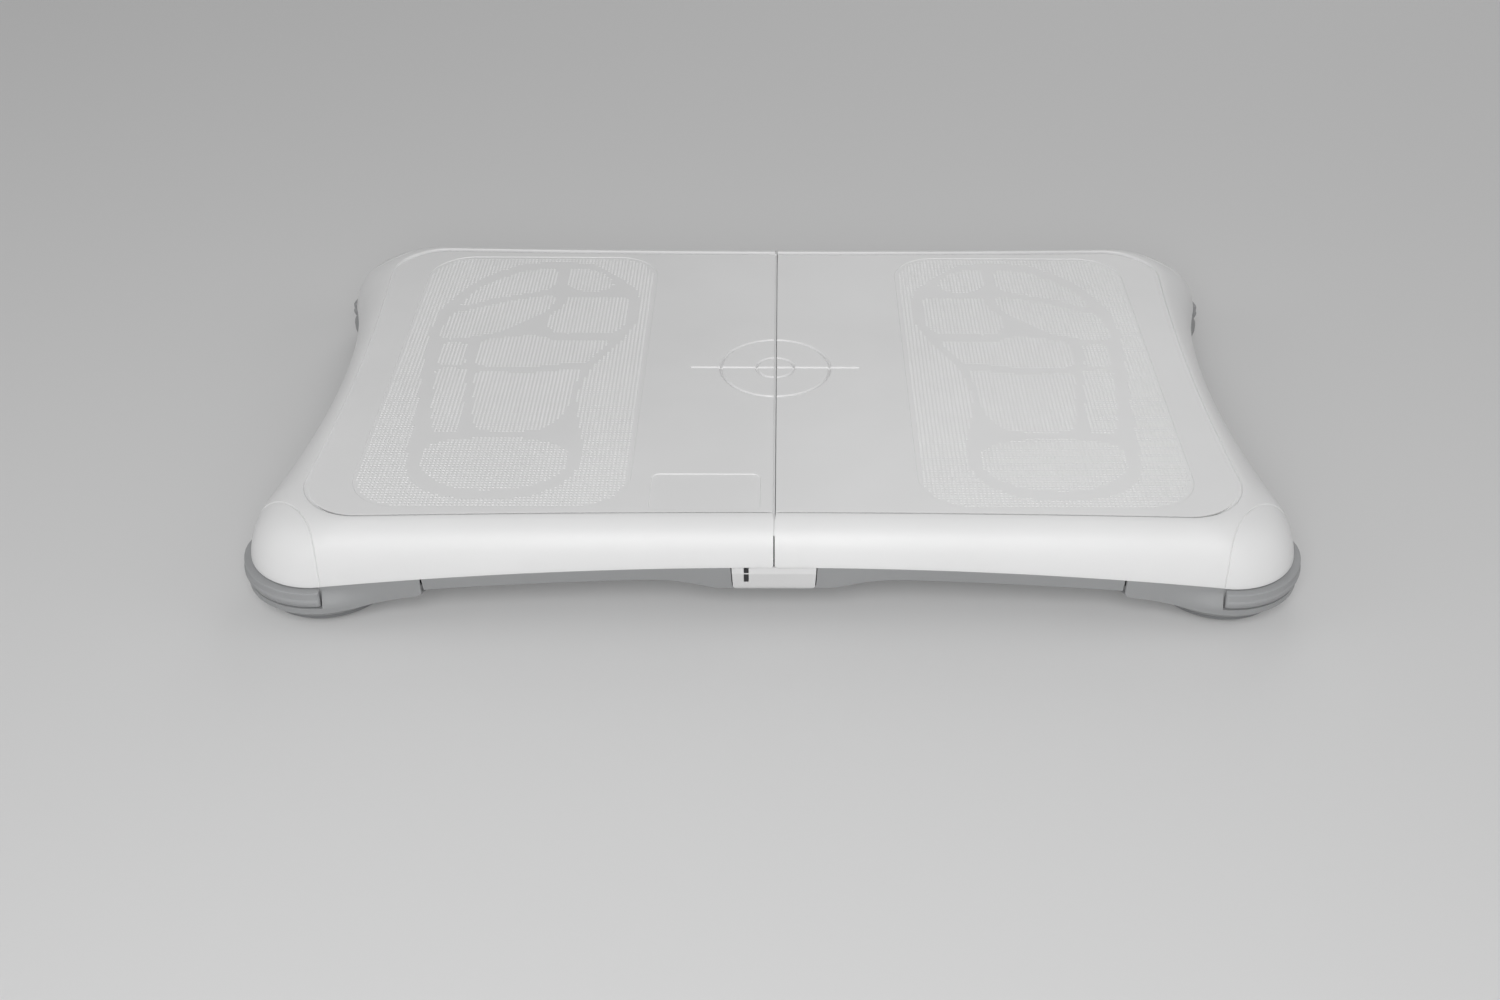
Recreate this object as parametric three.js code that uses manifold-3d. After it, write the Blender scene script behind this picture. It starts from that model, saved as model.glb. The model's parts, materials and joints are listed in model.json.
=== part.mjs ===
// Game console balance board: a low white platform that stands on four weighing feet.
// Millimetres. +X is the user's right, +Y points away from the user and +Z is up.
// The origin is on the floor, under the middle of the board.

import * as THREE from 'three';
import { mergeVertices } from 'three/addons/utils/BufferGeometryUtils.js';
import Module from 'manifold-3d';

const wasm = await Module();
wasm.setup();

// Driving dimensions of the whole board
const FOOT_X = 216.5;
const FOOT_Y = 119;
const TOP_Z = 53.2;
const FIT_GAP = 0.3;

// Plan outlines: a round corner between edges that are drawn in at the middle
const DECK_EDGE = { cornerX: FOOT_X, cornerY: FOOT_Y, cornerR: 34.8, midX: 233.7, midY: 148.8 };
const PANEL_EDGE = { cornerX: 195.2, cornerY: 106, cornerR: 29.9, midX: 221.4, midY: 132.7 };
const EDGE_STEPS = { front: 7, corner: 7, side: 4 };
const FRONT_CROWDING = 1.3;

// Lower edge of the white deck, which arches up between the corners
const EDGE_MID_Z = 33.1;
const EDGE_DROP = 8.5;
const EDGE_RUN_X = 215;
const EDGE_RUN_Y = 119;

// Deck halves and corner caps
const PANEL_DEPTH = 0.8;
const PANEL_Z = TOP_Z - PANEL_DEPTH;
const DECK_SKIN = 2.6;
const DECK_UNDER_Z = 49.6;
const OUTSIDE_STEPS = { bend: 2, face: 4 };
const UNDER_STEPS = { bend: 1, face: 1 };
const CENTRE_GAP = 1.2;
const CAP_GAP = 0.4;

// Shoulder section, as shares of the way out from the panel and of the height above the lower edge:
// a small bend beside the panel, and then a face that grows steeper to the lower edge
const SHOULDER = { lead: [0.13, 1], bend: [0.32, 0.92], brow: [0.892, 0.679] };

// Plan curve of the seam round a corner cap
const CAP_SEAM = [[211, 158], [210.5, 146], [222, 116], [258, 113]];

// Tongue of the left deck half that closes the centre seam from below
const TONGUE = { x0: -4, x1: 3, thick: 1 };

// Ribs under each deck half
const RIB = { places: [22, 112, 192], half: 1, endY: 118 };

// Marks sunk in the top panel
const PAD = { x0: 69.3, x1: 202.6, halfY: 126.9, r: 24.5, depth: 0.5 };
const MARK = { outerR: 29, innerR: 10, halfLine: 45.6, width: 1.5, depth: 0.6 };
const NAME_RECESS = { x0: -59.3, x1: -6.7, y0: -129.5, y1: -99.4, r: 4, depth: 0.5 };

// Bottom tray
const TRAY = {
  inset: 0.8,
  wall: 2.4,
  band: 7.5,
  floorZ: 18.5,
  floorTop: 21,
  slope: 0.6,
  slopeInset: 12,
  edgeGap: 0.4,
};
const HOUSING = { z: 19.8, flat: 29.2, end: 62 };
const FAIRING_R = 60;
const FAIRING_GAP = 1;
const RIM_TOP = 22;
const ROUND_STEPS = 36;

// Underside and inside of the domed foot cover, as (radius, height) about the foot
const DOME = [[33.2, 6.8], [35, 8.9], [37, 10.8], [40, 12.7], [45.6, 15.2], [51.4, 16.5], [FAIRING_R, 17.8]];
const DOME_INSIDE = [[34.8, 11.2], [38, 13.9], [46, 17.9], [57.6, 20]];
const POST = { places: [[-44, 22], [-20, 44]], r: 4, z0: 17.2 };

// Corner bumper and foot
const BUMPER = { innerR: 34.4, outerR: 39, z0: 15, z1: 24, endX: -5, endY: -2 };
const UNDER_BUMPER_R = 38;
const FOOT_R = 31.2;
const FOOT_HOLE_R = 32.2;
const FOOT_TRAVEL = 0.5;
const CUP = { z0: 2.9, z1: 12, wall: 2.2, floor: 2.5, postR: 9, boreR: 4.3 };
const PAD_R = 27.6;
const BOLT = { shankR: 4, headR: 6.5, headHeight: 3.8 };

// Load cell along X, from its free end over the foot to the end fixed to the chassis
const CELL = { z0: 30.3, z1: 42.3, halfY: 12, free: 12, fixed: -66, boltX: -54, boreR: 4.6 };
const DOG_BONE = { nearX: -20, farX: -34, r: 4.2, neck: 1.2 };
const LEAD = { r: 1.5, sides: 5, steps: 12 };

// Steel chassis
const CHASSIS = { halfX: 205, halfY: 131, r: 15, z0: 46.4, z1: 48, flangeZ: 38, sheet: 1.6 };
const FLANGE = { halfX: 140, halfY: 90 };
const SEAT = { outer: -42, halfY: 11.5 };
const WINDOW = { x0: 48, x1: 148, halfY: 82, r: 12 };
const BOLT_HOLE_R = 4.5;

// Circuit board, with the parts on it
const BOARD = { halfX: 45, y0: -138, y1: -34.5, z0: 31, z1: 32.6, r: 3 };
const SHIELD = { x0: 12, x1: 36, y0: -118, y1: -92, height: 3.4 };
const POWER_SWITCH = { halfX: 4, y0: -139.5, y1: -134.5, z0: 26 };
const PLUNGER = { halfX: 1.5, y0: -141, z0: 26.8, z1: 29 };

// Battery bay, its door and the sync button behind the door
const BAY = { halfX: 29.5, halfY: 31, wall: 2, top: 36 };
const DOOR = { halfX: 32.6, y0: -46.6, axisY: 34.7, z0: 18.5, thick: 1.8, gap: 0.4, ledge: 2.4 };
const LATCH = { halfX: 8, lift: 0.2, notchX: 9, notchHalf: 0.6, notchDepth: 7 };
const FINGER = { halfX: 9, reach: 8, depth: 1.3 };
const SYNC = { x: 18, y: -39, r: 2.8, z0: 21.3, flangeR: 4, flangeZ: 25.4, z1: 26.2 };
const SYNC_POCKET = { outerX: 10, innerX: 8, top: 23.5, roof: 1.5 };
const SYNC_SWITCH = { half: 3, z0: 27.8, domeR: 1.7, domeZ: 27.3 };

// Four AA cells and the strips at their ends
const CELL_ROWS = [-22.8, -7.6, 7.6, 22.8];
const AA = { r: 7.1, half: 25.25, z: 28.3, capHeight: 1.3, capR: 2.7 };
const STRIP = { x0: 28.4, x1: 29.2, halfY: 29.5, z0: 22, z1: 35, tipX: 25.6, bump: 2 };

// Power button, seen under the middle of the front edge
const BUTTON = {
  halfX: 19.9,
  taper: 0.6,
  z0: 20.6,
  z1: 32.5,
  creaseZ: 29.6,
  frontY: -148.7,
  backY: -146.2,
  r: 2,
  sideGap: 0.6,
  sillGap: 0.25,
};
const STEM = { halfX: 3, endY: -142.4, z0: 26, z1: 29.5 };
const LENS = { x: -13, halfX: 1, z0: 25, z1: 32.4, gap: 0.25 };

// Screws that hold the tray to the chassis
const BOSS_PLACES = [[-75, -108], [75, -108], [-172, 0], [172, 0], [-75, 108], [75, 108]];
const BOSS = { r: 6.5, wellR: 4.5, wellTop: 24, holeR: 2 };
const SCREW = { headR: 3.8, headHeight: 2.5, shankR: 1.6, end: 45.6 };

// Materials
function material(color, roughness, metalness) {
  return new THREE.MeshStandardMaterial({ color, roughness, metalness });
}

const WHITE = material(0xe6e6e4, 0.5, 0);
const GREY = material(0x98999b, 0.55, 0);
const BUMPER_GREY = material(0x8f9092, 0.65, 0);
const FOOT_GREY = material(0x7d7e80, 0.6, 0);
const RUBBER = material(0x55565a, 0.85, 0);
const STEEL = material(0x9fa3a6, 0.4, 1);
const CELL_STEEL = material(0xb7b9ba, 0.35, 1);
const BOARD_GREEN = material(0x1f5a3a, 0.5, 0);
const BLACK = material(0x1c1c1e, 0.4, 0);
const BRIGHT = material(0xc8c6bd, 0.3, 1);
const CELL_WRAP = material(0x4d6f88, 0.45, 0);
const RED = material(0xb2322c, 0.45, 0);
const LEAD_GREY = material(0x6a6b6d, 0.6, 0);

// Solids: faces are turned outward, and a closed mesh becomes a solid that can be joined and cut

function signedVolume(position, index) {
  let sum = 0;
  const corner = [new THREE.Vector3(), new THREE.Vector3(), new THREE.Vector3()];
  for (let i = 0; i < index.length; i += 3) {
    corner.forEach((point, k) => point.fromBufferAttribute(position, index[i + k]));
    sum += corner[0].dot(corner[1].cross(corner[2]));
  }
  return sum / 6;
}

function solidOf(geometry) {
  const bare = geometry.clone();
  bare.deleteAttribute('normal');
  bare.deleteAttribute('uv');
  const merged = mergeVertices(bare, 1e-4);
  const index = [];
  for (let i = 0; i < merged.index.count; i += 3) {
    const [a, b, c] = [0, 1, 2].map((k) => merged.index.getX(i + k));
    if (a !== b && b !== c && c !== a) {
      index.push(a, b, c);
    }
  }
  if (signedVolume(merged.attributes.position, index) < 0) {
    index.reverse();
  }
  const vertProperties = Float32Array.from(merged.attributes.position.array);
  const triVerts = Uint32Array.from(index);
  return new wasm.Manifold(new wasm.Mesh({ numProp: 3, vertProperties, triVerts }));
}

function geometryOf(solid) {
  const mesh = solid.getMesh();
  const geometry = new THREE.BufferGeometry();
  geometry.setAttribute('position', new THREE.BufferAttribute(Float32Array.from(mesh.vertProperties), 3));
  geometry.setIndex(Array.from(mesh.triVerts));
  geometry.computeVertexNormals();
  return geometry;
}

function joined(solids) {
  return solids.reduce((sum, solid) => sum.add(solid));
}

function cutBy(solid, cutters) {
  return cutters.reduce((rest, cutter) => rest.subtract(cutter), solid);
}

// Plain forms

function block(x0, x1, y0, y1, z0, z1) {
  const geometry = new THREE.BoxGeometry(x1 - x0, y1 - y0, z1 - z0);
  geometry.translate((x0 + x1) / 2, (y0 + y1) / 2, (z0 + z1) / 2);
  return solidOf(geometry);
}

// An outline that runs one way round, whichever side of the board it was mirrored to
function running(points, clockwise) {
  return THREE.ShapeUtils.isClockWise(points) === clockwise ? points : [...points].reverse();
}

function extrusion(points, depth, holes = []) {
  const shape = new THREE.Shape(running(points, false));
  shape.holes = holes.map((hole) => new THREE.Path(running(hole, true)));
  return new THREE.ExtrudeGeometry(shape, { depth, bevelEnabled: false });
}

function prism(points, z0, z1, holes) {
  return solidOf(extrusion(points, z1 - z0, holes).translate(0, 0, z0));
}

// A section given as (x, z) points, run from y0 to y1
function prismAlongY(points, y0, y1, holes) {
  const turn = new THREE.Matrix4().makeBasis(
    new THREE.Vector3(1, 0, 0),
    new THREE.Vector3(0, 0, 1),
    new THREE.Vector3(0, -1, 0),
  );
  return solidOf(extrusion(points, y1 - y0, holes).applyMatrix4(turn).translate(0, y1, 0));
}

// A section given as (y, z) points, run from x0 to x1
function prismAlongX(points, x0, x1, holes) {
  const turn = new THREE.Matrix4().makeBasis(
    new THREE.Vector3(0, 1, 0),
    new THREE.Vector3(0, 0, 1),
    new THREE.Vector3(1, 0, 0),
  );
  return solidOf(extrusion(points, x1 - x0, holes).applyMatrix4(turn).translate(x0, 0, 0));
}

// A profile of (radius, z) points turned about the Z axis
function turned(profile, segments) {
  const points = profile.map(([r, z]) => new THREE.Vector2(r, z));
  const onAxis = points[0].x === 0 && points[points.length - 1].x === 0;
  if (!onAxis) {
    points.push(points[0].clone());
  }
  return solidOf(new THREE.LatheGeometry(points, segments).rotateX(Math.PI / 2));
}

function cylinder(x, y, radius, z0, z1, segments = 24) {
  const profile = [[0, z0], [radius, z0], [radius, z1], [0, z1]];
  return turned(profile, segments).translate([x, y, 0]);
}

function vectors(pairs) {
  return pairs.map(([x, y]) => new THREE.Vector2(x, y));
}

function arcPoints(cx, cy, radius, from, to, steps) {
  const points = [];
  for (let i = 0; i <= steps; i += 1) {
    const angle = from + ((to - from) * i) / steps;
    points.push(new THREE.Vector2(cx + radius * Math.cos(angle), cy + radius * Math.sin(angle)));
  }
  return points;
}

function roundedRectangle(x0, x1, y0, y1, radius, steps = 5) {
  const quarterTurn = Math.PI / 2;
  const corners = [[x1 - radius, y0 + radius], [x1 - radius, y1 - radius],
    [x0 + radius, y1 - radius], [x0 + radius, y0 + radius]];
  return corners.flatMap(([x, y], k) => (
    arcPoints(x, y, radius, (k - 1) * quarterTurn, k * quarterTurn, steps)
  ));
}

// A closed skin over rings that all have the same number of points, with flat ends
function loft(rings) {
  const count = rings[0].length;
  const index = [];
  for (let start = 0; start < (rings.length - 1) * count; start += count) {
    for (let i = 0; i < count; i += 1) {
      const a = start + i;
      const b = start + ((i + 1) % count);
      index.push(a, b, b + count, a, b + count, a + count);
    }
  }
  const faces = (ring) => THREE.ShapeUtils.triangulateShape(vectors(ring.map((p) => [p.x, p.y])), []);
  const last = (rings.length - 1) * count;
  faces(rings[0]).forEach(([a, b, c]) => index.push(c, b, a));
  faces(rings[rings.length - 1]).forEach(([a, b, c]) => index.push(last + a, last + b, last + c));
  const geometry = new THREE.BufferGeometry().setFromPoints(rings.flat());
  geometry.setIndex(index);
  return solidOf(geometry);
}

// Plan outline of the board

// Radius of the drawn-in edge that passes its middle point and touches the corner circle
function hollowRadius(along, drop, cornerR) {
  return (along ** 2 + drop ** 2 - cornerR ** 2) / (2 * (cornerR - drop));
}

function quarterOutline(edge, inset) {
  const cornerR = edge.cornerR - inset;
  const midX = edge.midX - inset;
  const midY = edge.midY - inset;
  const frontR = hollowRadius(edge.cornerX, midY - edge.cornerY, cornerR);
  const sideR = hollowRadius(edge.cornerY, midX - edge.cornerX, cornerR);
  const frontY = -(midY + frontR);
  const sideX = midX + sideR;
  const toFront = Math.atan2(frontY + edge.cornerY, -edge.cornerX);
  const toSide = Math.atan2(edge.cornerY, sideX - edge.cornerX);
  const front = [];
  const frontSweep = toFront + Math.PI - Math.PI / 2;
  for (let i = 0; i < EDGE_STEPS.front; i += 1) {
    const angle = Math.PI / 2 + frontSweep * (i / EDGE_STEPS.front) ** FRONT_CROWDING;
    front.push(new THREE.Vector2(frontR * Math.cos(angle), frontY + frontR * Math.sin(angle)));
  }
  front[0].x = 0;
  const corner = arcPoints(edge.cornerX, -edge.cornerY, cornerR, toFront, toSide, EDGE_STEPS.corner);
  const side = arcPoints(sideX, 0, sideR, toSide + Math.PI, Math.PI, EDGE_STEPS.side).slice(1);
  return [...front, ...corner, ...side];
}

function outline(edge, inset = 0) {
  const quarter = quarterOutline(edge, inset);
  const rearQuarter = quarter.slice(0, -1).reverse().map((p) => new THREE.Vector2(p.x, -p.y));
  const rightHalf = [...quarter, ...rearQuarter];
  const leftHalf = rightHalf.slice(1, -1).reverse().map((p) => new THREE.Vector2(-p.x, p.y));
  return [...rightHalf, ...leftHalf];
}

// Height of the white deck's lower edge above a plan point near the outline
function deckEdgeZ(point) {
  const alongFront = Math.min(1, Math.abs(point.x) / EDGE_RUN_X);
  const alongSide = Math.min(1, Math.abs(point.y) / EDGE_RUN_Y);
  return EDGE_MID_Z - EDGE_DROP * Math.min(alongFront, alongSide) ** 2;
}

// Points along the shoulder section, as (share of the way out, share of the height)
function shoulderSection(steps) {
  const curve = (from, bend, to) => new THREE.QuadraticBezierCurve(...vectors([from, bend, to]));
  const bend = curve([0, 1], SHOULDER.lead, SHOULDER.bend).getPoints(steps.bend);
  const face = curve(SHOULDER.bend, SHOULDER.brow, [1, 0]).getPoints(steps.face);
  return [...bend, ...face.slice(1)];
}

function ringAt(points, heights) {
  return points.map((p, i) => new THREE.Vector3(p.x, p.y, heights[i]));
}

function levelRing(points, z) {
  return points.map((p) => new THREE.Vector3(p.x, p.y, z));
}

// Rings of the shoulder from the panel's edge at the top to the outer edge at the bottom
function shoulderRings(inner, outer, topZ, edgeZ, steps) {
  return shoulderSection(steps).map((share) => inner.map((p, i) => {
    const plan = p.clone().lerp(outer[i], share.x);
    return new THREE.Vector3(plan.x, plan.y, THREE.MathUtils.lerp(edgeZ[i], topZ, share.y));
  }));
}

// Deck: one lofted shell, later parted into two halves and four corner caps

function deckShell() {
  const outer = outline(DECK_EDGE);
  const edgeZ = outer.map(deckEdgeZ);
  const panel = outline(PANEL_EDGE);
  const outside = shoulderRings(panel, outer, TOP_Z, edgeZ, OUTSIDE_STEPS);
  const inside = shoulderRings(panel, outline(DECK_EDGE, DECK_SKIN), DECK_UNDER_Z, edgeZ, UNDER_STEPS);
  const panelFloor = levelRing(outline(PANEL_EDGE, PANEL_DEPTH), PANEL_Z);
  return loft([panelFloor, ...outside, ...inside.reverse()]);
}

// A thin layer under the deck shell, between two depths below its underside
function underLayer(depth0, depth1) {
  const edgeZ = outline(DECK_EDGE).map(deckEdgeZ);
  const [upper, lower] = [depth0, depth1].map((depth) => shoulderRings(
    outline(PANEL_EDGE),
    outline(DECK_EDGE, DECK_SKIN + depth),
    DECK_UNDER_Z - depth,
    edgeZ,
    UNDER_STEPS,
  ));
  return loft([...upper, ...lower.reverse()]);
}

// Strip under the centre seam: it hangs from the left half and reaches under the right one
function seamTongue() {
  const bottom = FIT_GAP + TONGUE.thick;
  const rootX = -CENTRE_GAP / 2;
  const root = underLayer(-FIT_GAP, bottom).intersect(spanAcross(TONGUE.x0, rootX));
  const tip = underLayer(FIT_GAP, bottom).intersect(spanAcross(rootX - FIT_GAP, TONGUE.x1));
  return root.add(tip);
}

function spanAcross(x0, x1) {
  const far = 300;
  return block(x0, x1, -far, far, 0, 2 * TOP_Z);
}

// The space over a front right corner cap, widened by a gap towards the board's middle
function capRegion(gap) {
  const [start, , , end] = CAP_SEAM;
  const seam = new THREE.CubicBezierCurve(...CAP_SEAM.map(([x, y]) => (
    new THREE.Vector2(x - gap, -y + gap)
  )));
  const outerCorner = new THREE.Vector2(270, -170);
  return [
    new THREE.Vector2(start[0] - gap, outerCorner.y),
    ...seam.getPoints(10),
    new THREE.Vector2(outerCorner.x, -end[1] + gap),
    outerCorner,
  ];
}

function mirrored(points, signX, signY) {
  return points.map((p) => new THREE.Vector2(p.x * signX, p.y * signY));
}

function centreMark() {
  const z0 = PANEL_Z - MARK.depth;
  const ring = (radius, segments) => turned([
    [radius - MARK.width / 2, z0],
    [radius + MARK.width / 2, z0],
    [radius + MARK.width / 2, TOP_Z],
    [radius - MARK.width / 2, TOP_Z],
  ], segments);
  const line = block(-MARK.halfLine, MARK.halfLine, -MARK.width / 2, MARK.width / 2, z0, TOP_Z);
  return joined([ring(MARK.outerR, 32), ring(MARK.innerR, 16), line]);
}

function deckCuts() {
  const pads = [-1, 1].map((side) => prism(
    mirrored(roundedRectangle(PAD.x0, PAD.x1, -PAD.halfY, PAD.halfY, PAD.r), side, 1),
    PANEL_Z - PAD.depth,
    TOP_Z,
  ));
  const nameRecess = prism(
    roundedRectangle(NAME_RECESS.x0, NAME_RECESS.x1, NAME_RECESS.y0, NAME_RECESS.y1, NAME_RECESS.r, 4),
    PANEL_Z - NAME_RECESS.depth,
    TOP_Z,
  );
  return [...pads, nameRecess, centreMark()];
}

// Ribs under a deck half, which rest on the chassis
function deckRibs(side) {
  return RIB.places.map((x) => block(
    side * x - RIB.half,
    side * x + RIB.half,
    -RIB.endY,
    RIB.endY,
    CHASSIS.z1 + FIT_GAP,
    DECK_UNDER_Z + 1,
  ));
}

// Bottom tray

// Height of the lower edge of the grey band, which dips round the power button
function bandZ(point) {
  const level = Math.max(deckEdgeZ(point) - TRAY.band, TRAY.floorZ + FIT_GAP);
  if (point.y > 0) {
    return level;
  }
  const along = (Math.abs(point.x) - HOUSING.flat) / (HOUSING.end - HOUSING.flat);
  return THREE.MathUtils.lerp(level, HOUSING.z, (1 - THREE.MathUtils.clamp(along, 0, 1)) ** 2);
}

function trayBowl() {
  const rise = 1.6;
  const base = outline(DECK_EDGE);
  const topZ = base.map((p) => deckEdgeZ(p) - TRAY.edgeGap);
  const lowZ = base.map(bandZ);
  const insideZ = lowZ.map((z) => Math.max(z + rise, TRAY.floorTop) + FIT_GAP);
  const inner = TRAY.inset + TRAY.wall;
  return loft([
    levelRing(outline(DECK_EDGE, TRAY.slopeInset), TRAY.floorZ),
    ringAt(outline(DECK_EDGE, TRAY.inset + TRAY.slope), lowZ),
    ringAt(outline(DECK_EDGE, TRAY.inset), topZ),
    ringAt(outline(DECK_EDGE, inner), topZ),
    ringAt(outline(DECK_EDGE, inner + TRAY.slope), insideZ),
    levelRing(outline(DECK_EDGE, TRAY.slopeInset + 1), TRAY.floorTop),
  ]);
}

function bottomTray() {
  const outerX = BAY.halfX + BAY.wall;
  const outerY = BAY.halfY + BAY.wall;
  const ledgeZ = DOOR.z0 + DOOR.thick + FIT_GAP;
  const doorX = DOOR.halfX + DOOR.gap;
  const doorY0 = DOOR.y0 - DOOR.gap;
  const doorY1 = DOOR.axisY + DOOR.thick / 2 + DOOR.gap;
  const frameX = doorX + DOOR.ledge;
  const frameY0 = doorY0 - DOOR.ledge;
  const frameY1 = doorY1 + DOOR.ledge;
  const { outerX: pocketX, innerX, top, roof } = SYNC_POCKET;
  const pocketWall = 2;
  const sides = 10;
  const pilotSides = 6;
  const bosses = BOSS_PLACES.map(([x, y]) => (
    cylinder(x, y, BOSS.r, TRAY.floorZ + 1, CHASSIS.z0 - FIT_GAP, sides)
  ));
  const body = joined([
    trayBowl(),
    block(-frameX, frameX, frameY0, frameY1, TRAY.floorZ, ledgeZ + DOOR.ledge),
    block(-outerX, outerX, -outerY, outerY, ledgeZ, BAY.top + BAY.wall),
    block(SYNC.x - pocketX, SYNC.x + pocketX, frameY0, -BAY.halfY, ledgeZ, top + roof),
    ...bosses,
  ]);
  const cuts = [
    block(-BAY.halfX, BAY.halfX, -BAY.halfY, BAY.halfY, 0, BAY.top),
    block(SYNC.x - innerX, SYNC.x + innerX, doorY0 + pocketWall, -BAY.halfY + 1, 0, top),
    cylinder(SYNC.x, SYNC.y, SYNC.r + 0.4, top - 1, top + roof + 1, 12),
    block(-doorX, doorX, doorY0, doorY1, 0, ledgeZ),
    fingerNotch(doorY0),
    buttonSlot(),
    ...cornerSigns().map(([sx, sy]) => (
      cylinder(sx * FOOT_X, sy * FOOT_Y, FAIRING_R + FAIRING_GAP, 0, TOP_Z, ROUND_STEPS)
    )),
    ...BOSS_PLACES.map(([x, y]) => cylinder(x, y, BOSS.wellR, 0, BOSS.wellTop, sides)),
    ...BOSS_PLACES.map(([x, y]) => cylinder(x, y, BOSS.holeR, BOSS.wellTop - 1, TOP_Z, pilotSides)),
  ];
  return cutBy(body, cuts);
}

// Scoop in front of the battery door, for the finger that lifts its latch
function fingerNotch(doorEdgeY) {
  const { halfX, reach, depth } = FINGER;
  const flat = 2;
  const overlap = 1;
  return prismAlongX(
    vectors([
      [doorEdgeY + overlap, TRAY.floorZ - overlap],
      [doorEdgeY + overlap, TRAY.floorZ + depth],
      [doorEdgeY - flat, TRAY.floorZ + depth],
      [doorEdgeY - reach, TRAY.floorZ - 0.01],
      [doorEdgeY - reach, TRAY.floorZ - overlap],
    ]),
    -halfX,
    halfX,
  );
}

// Outline of the power button in its own plane: sides that taper down to rounded lower corners
function buttonFace(gap, sillGap, topZ) {
  const { halfX, taper, z0, z1 } = BUTTON;
  const r = BUTTON.r + gap;
  const lowX = halfX - taper + gap;
  const topX = lowX + (taper * (topZ - z0)) / (z1 - z0);
  const bottom = z0 - sillGap;
  return [
    ...arcPoints(-lowX + r, bottom + r, r, Math.PI, Math.PI * 1.5, 5),
    ...arcPoints(lowX - r, bottom + r, r, -Math.PI / 2, 0, 5),
    new THREE.Vector2(topX, topZ),
    new THREE.Vector2(-topX, topZ),
  ];
}

function buttonSlot() {
  const { sideGap, sillGap, frontY, backY } = BUTTON;
  const reach = 10;
  const throughWall = 1.6;
  return prismAlongY(buttonFace(sideGap, sillGap, TOP_Z), frontY - reach, backY + throughWall);
}

// Corner pieces, made for the front right corner about the foot's centre

function cornerSigns() {
  return [[-1, -1], [1, -1], [-1, 1], [1, 1]];
}

function cornerName([signX, signY]) {
  return `${signY < 0 ? 'front' : 'rear'}_${signX < 0 ? 'left' : 'right'}`;
}

// The space above the deck's lower edge, less a gap
function aboveDeckEdge(gap) {
  const far = 300;
  const steps = 8;
  const section = (run) => {
    const points = [new THREE.Vector2(far, EDGE_MID_Z - EDGE_DROP - gap)];
    points.push(new THREE.Vector2(far, 2 * TOP_Z), new THREE.Vector2(-far, 2 * TOP_Z));
    points.push(new THREE.Vector2(-far, EDGE_MID_Z - EDGE_DROP - gap));
    for (let i = -steps; i <= steps; i += 1) {
      const share = i / steps;
      points.push(new THREE.Vector2(run * share, EDGE_MID_Z - EDGE_DROP * share ** 2 - gap));
    }
    return points;
  };
  return prismAlongY(section(EDGE_RUN_X), -far, far).intersect(prismAlongX(section(EDGE_RUN_Y), -far, far));
}

// Domed cover round a foot, with a wall up to the deck's edge and two posts up to the chassis
function footFairing() {
  const high = 40;
  const toFoot = [FOOT_X, -FOOT_Y, 0];
  const dome = turned([
    [FOOT_HOLE_R, DOME[0][1]],
    ...DOME,
    [FAIRING_R, high],
    [FOOT_HOLE_R, high],
  ], ROUND_STEPS).translate(toFoot);
  const hollow = turned([
    ...DOME_INSIDE,
    [DOME_INSIDE[3][0], high + 1],
    [DOME_INSIDE[0][0], high + 1],
  ], ROUND_STEPS).translate(toFoot);
  const underBumper = cylinder(FOOT_X, -FOOT_Y, UNDER_BUMPER_R, 0, BUMPER.z0 - FIT_GAP, ROUND_STEPS)
    .intersect(cornerBlock());
  const clip = prism(outline(DECK_EDGE, TRAY.inset), 0, high).add(underBumper);
  const inside = prism(outline(DECK_EDGE, TRAY.inset + TRAY.wall), 0, high + 1);
  const overRim = prism(outline(DECK_EDGE, TRAY.inset + TRAY.wall), RIM_TOP, high + 1);
  const shell = dome
    .intersect(clip)
    .subtract(hollow.intersect(inside))
    .subtract(overRim)
    .subtract(aboveDeckEdge(TRAY.edgeGap));
  const posts = POST.places.map(([x, y]) => (
    cylinder(FOOT_X + x, -FOOT_Y + y, POST.r, POST.z0, CHASSIS.z0 - FIT_GAP, 8)
  ));
  return joined([shell, ...posts]);
}

// The quarter of a foot's surroundings that the corner bumper covers
function cornerBlock() {
  const reach = 60;
  return block(
    FOOT_X + BUMPER.endX,
    FOOT_X + reach,
    -FOOT_Y - reach,
    -FOOT_Y - BUMPER.endY,
    0,
    TOP_Z,
  );
}

function cornerBumper() {
  const { innerR, outerR, z0, z1 } = BUMPER;
  const lowerRound = { width: 2.6, foldWidth: 0.7, foldHeight: 1.2, height: 3.6 };
  const upperRound = 0.8;
  const ring = turned([
    [innerR, z0],
    [outerR - lowerRound.width, z0],
    [outerR - lowerRound.foldWidth, z0 + lowerRound.foldHeight],
    [outerR, z0 + lowerRound.height],
    [outerR, z1 - upperRound],
    [outerR - upperRound, z1],
    [innerR, z1],
  ], ROUND_STEPS).translate([FOOT_X, -FOOT_Y, 0]);
  return ring.intersect(cornerBlock());
}

// Foot: a cup with a centre post that presses up on the load cell's free end
function footCup() {
  const { z0, z1, wall, floor, postR, boreR } = CUP;
  const postTop = CELL.z0 - FOOT_TRAVEL - FIT_GAP;
  const edge = 0.9;
  return turned([
    [0, z0],
    [FOOT_R - edge, z0],
    [FOOT_R, z0 + edge],
    [FOOT_R, z1],
    [FOOT_R - wall, z1],
    [FOOT_R - wall, z0 + floor],
    [postR, z0 + floor],
    [postR, postTop],
    [boreR, postTop],
    [boreR, z1],
    [0, z1],
  ], 24);
}

function footPad() {
  const top = CUP.z0 - FIT_GAP;
  const edge = 0.9;
  return turned([[0, 0], [PAD_R - edge, 0], [PAD_R, edge], [PAD_R, top], [0, top]], 20);
}

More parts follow.
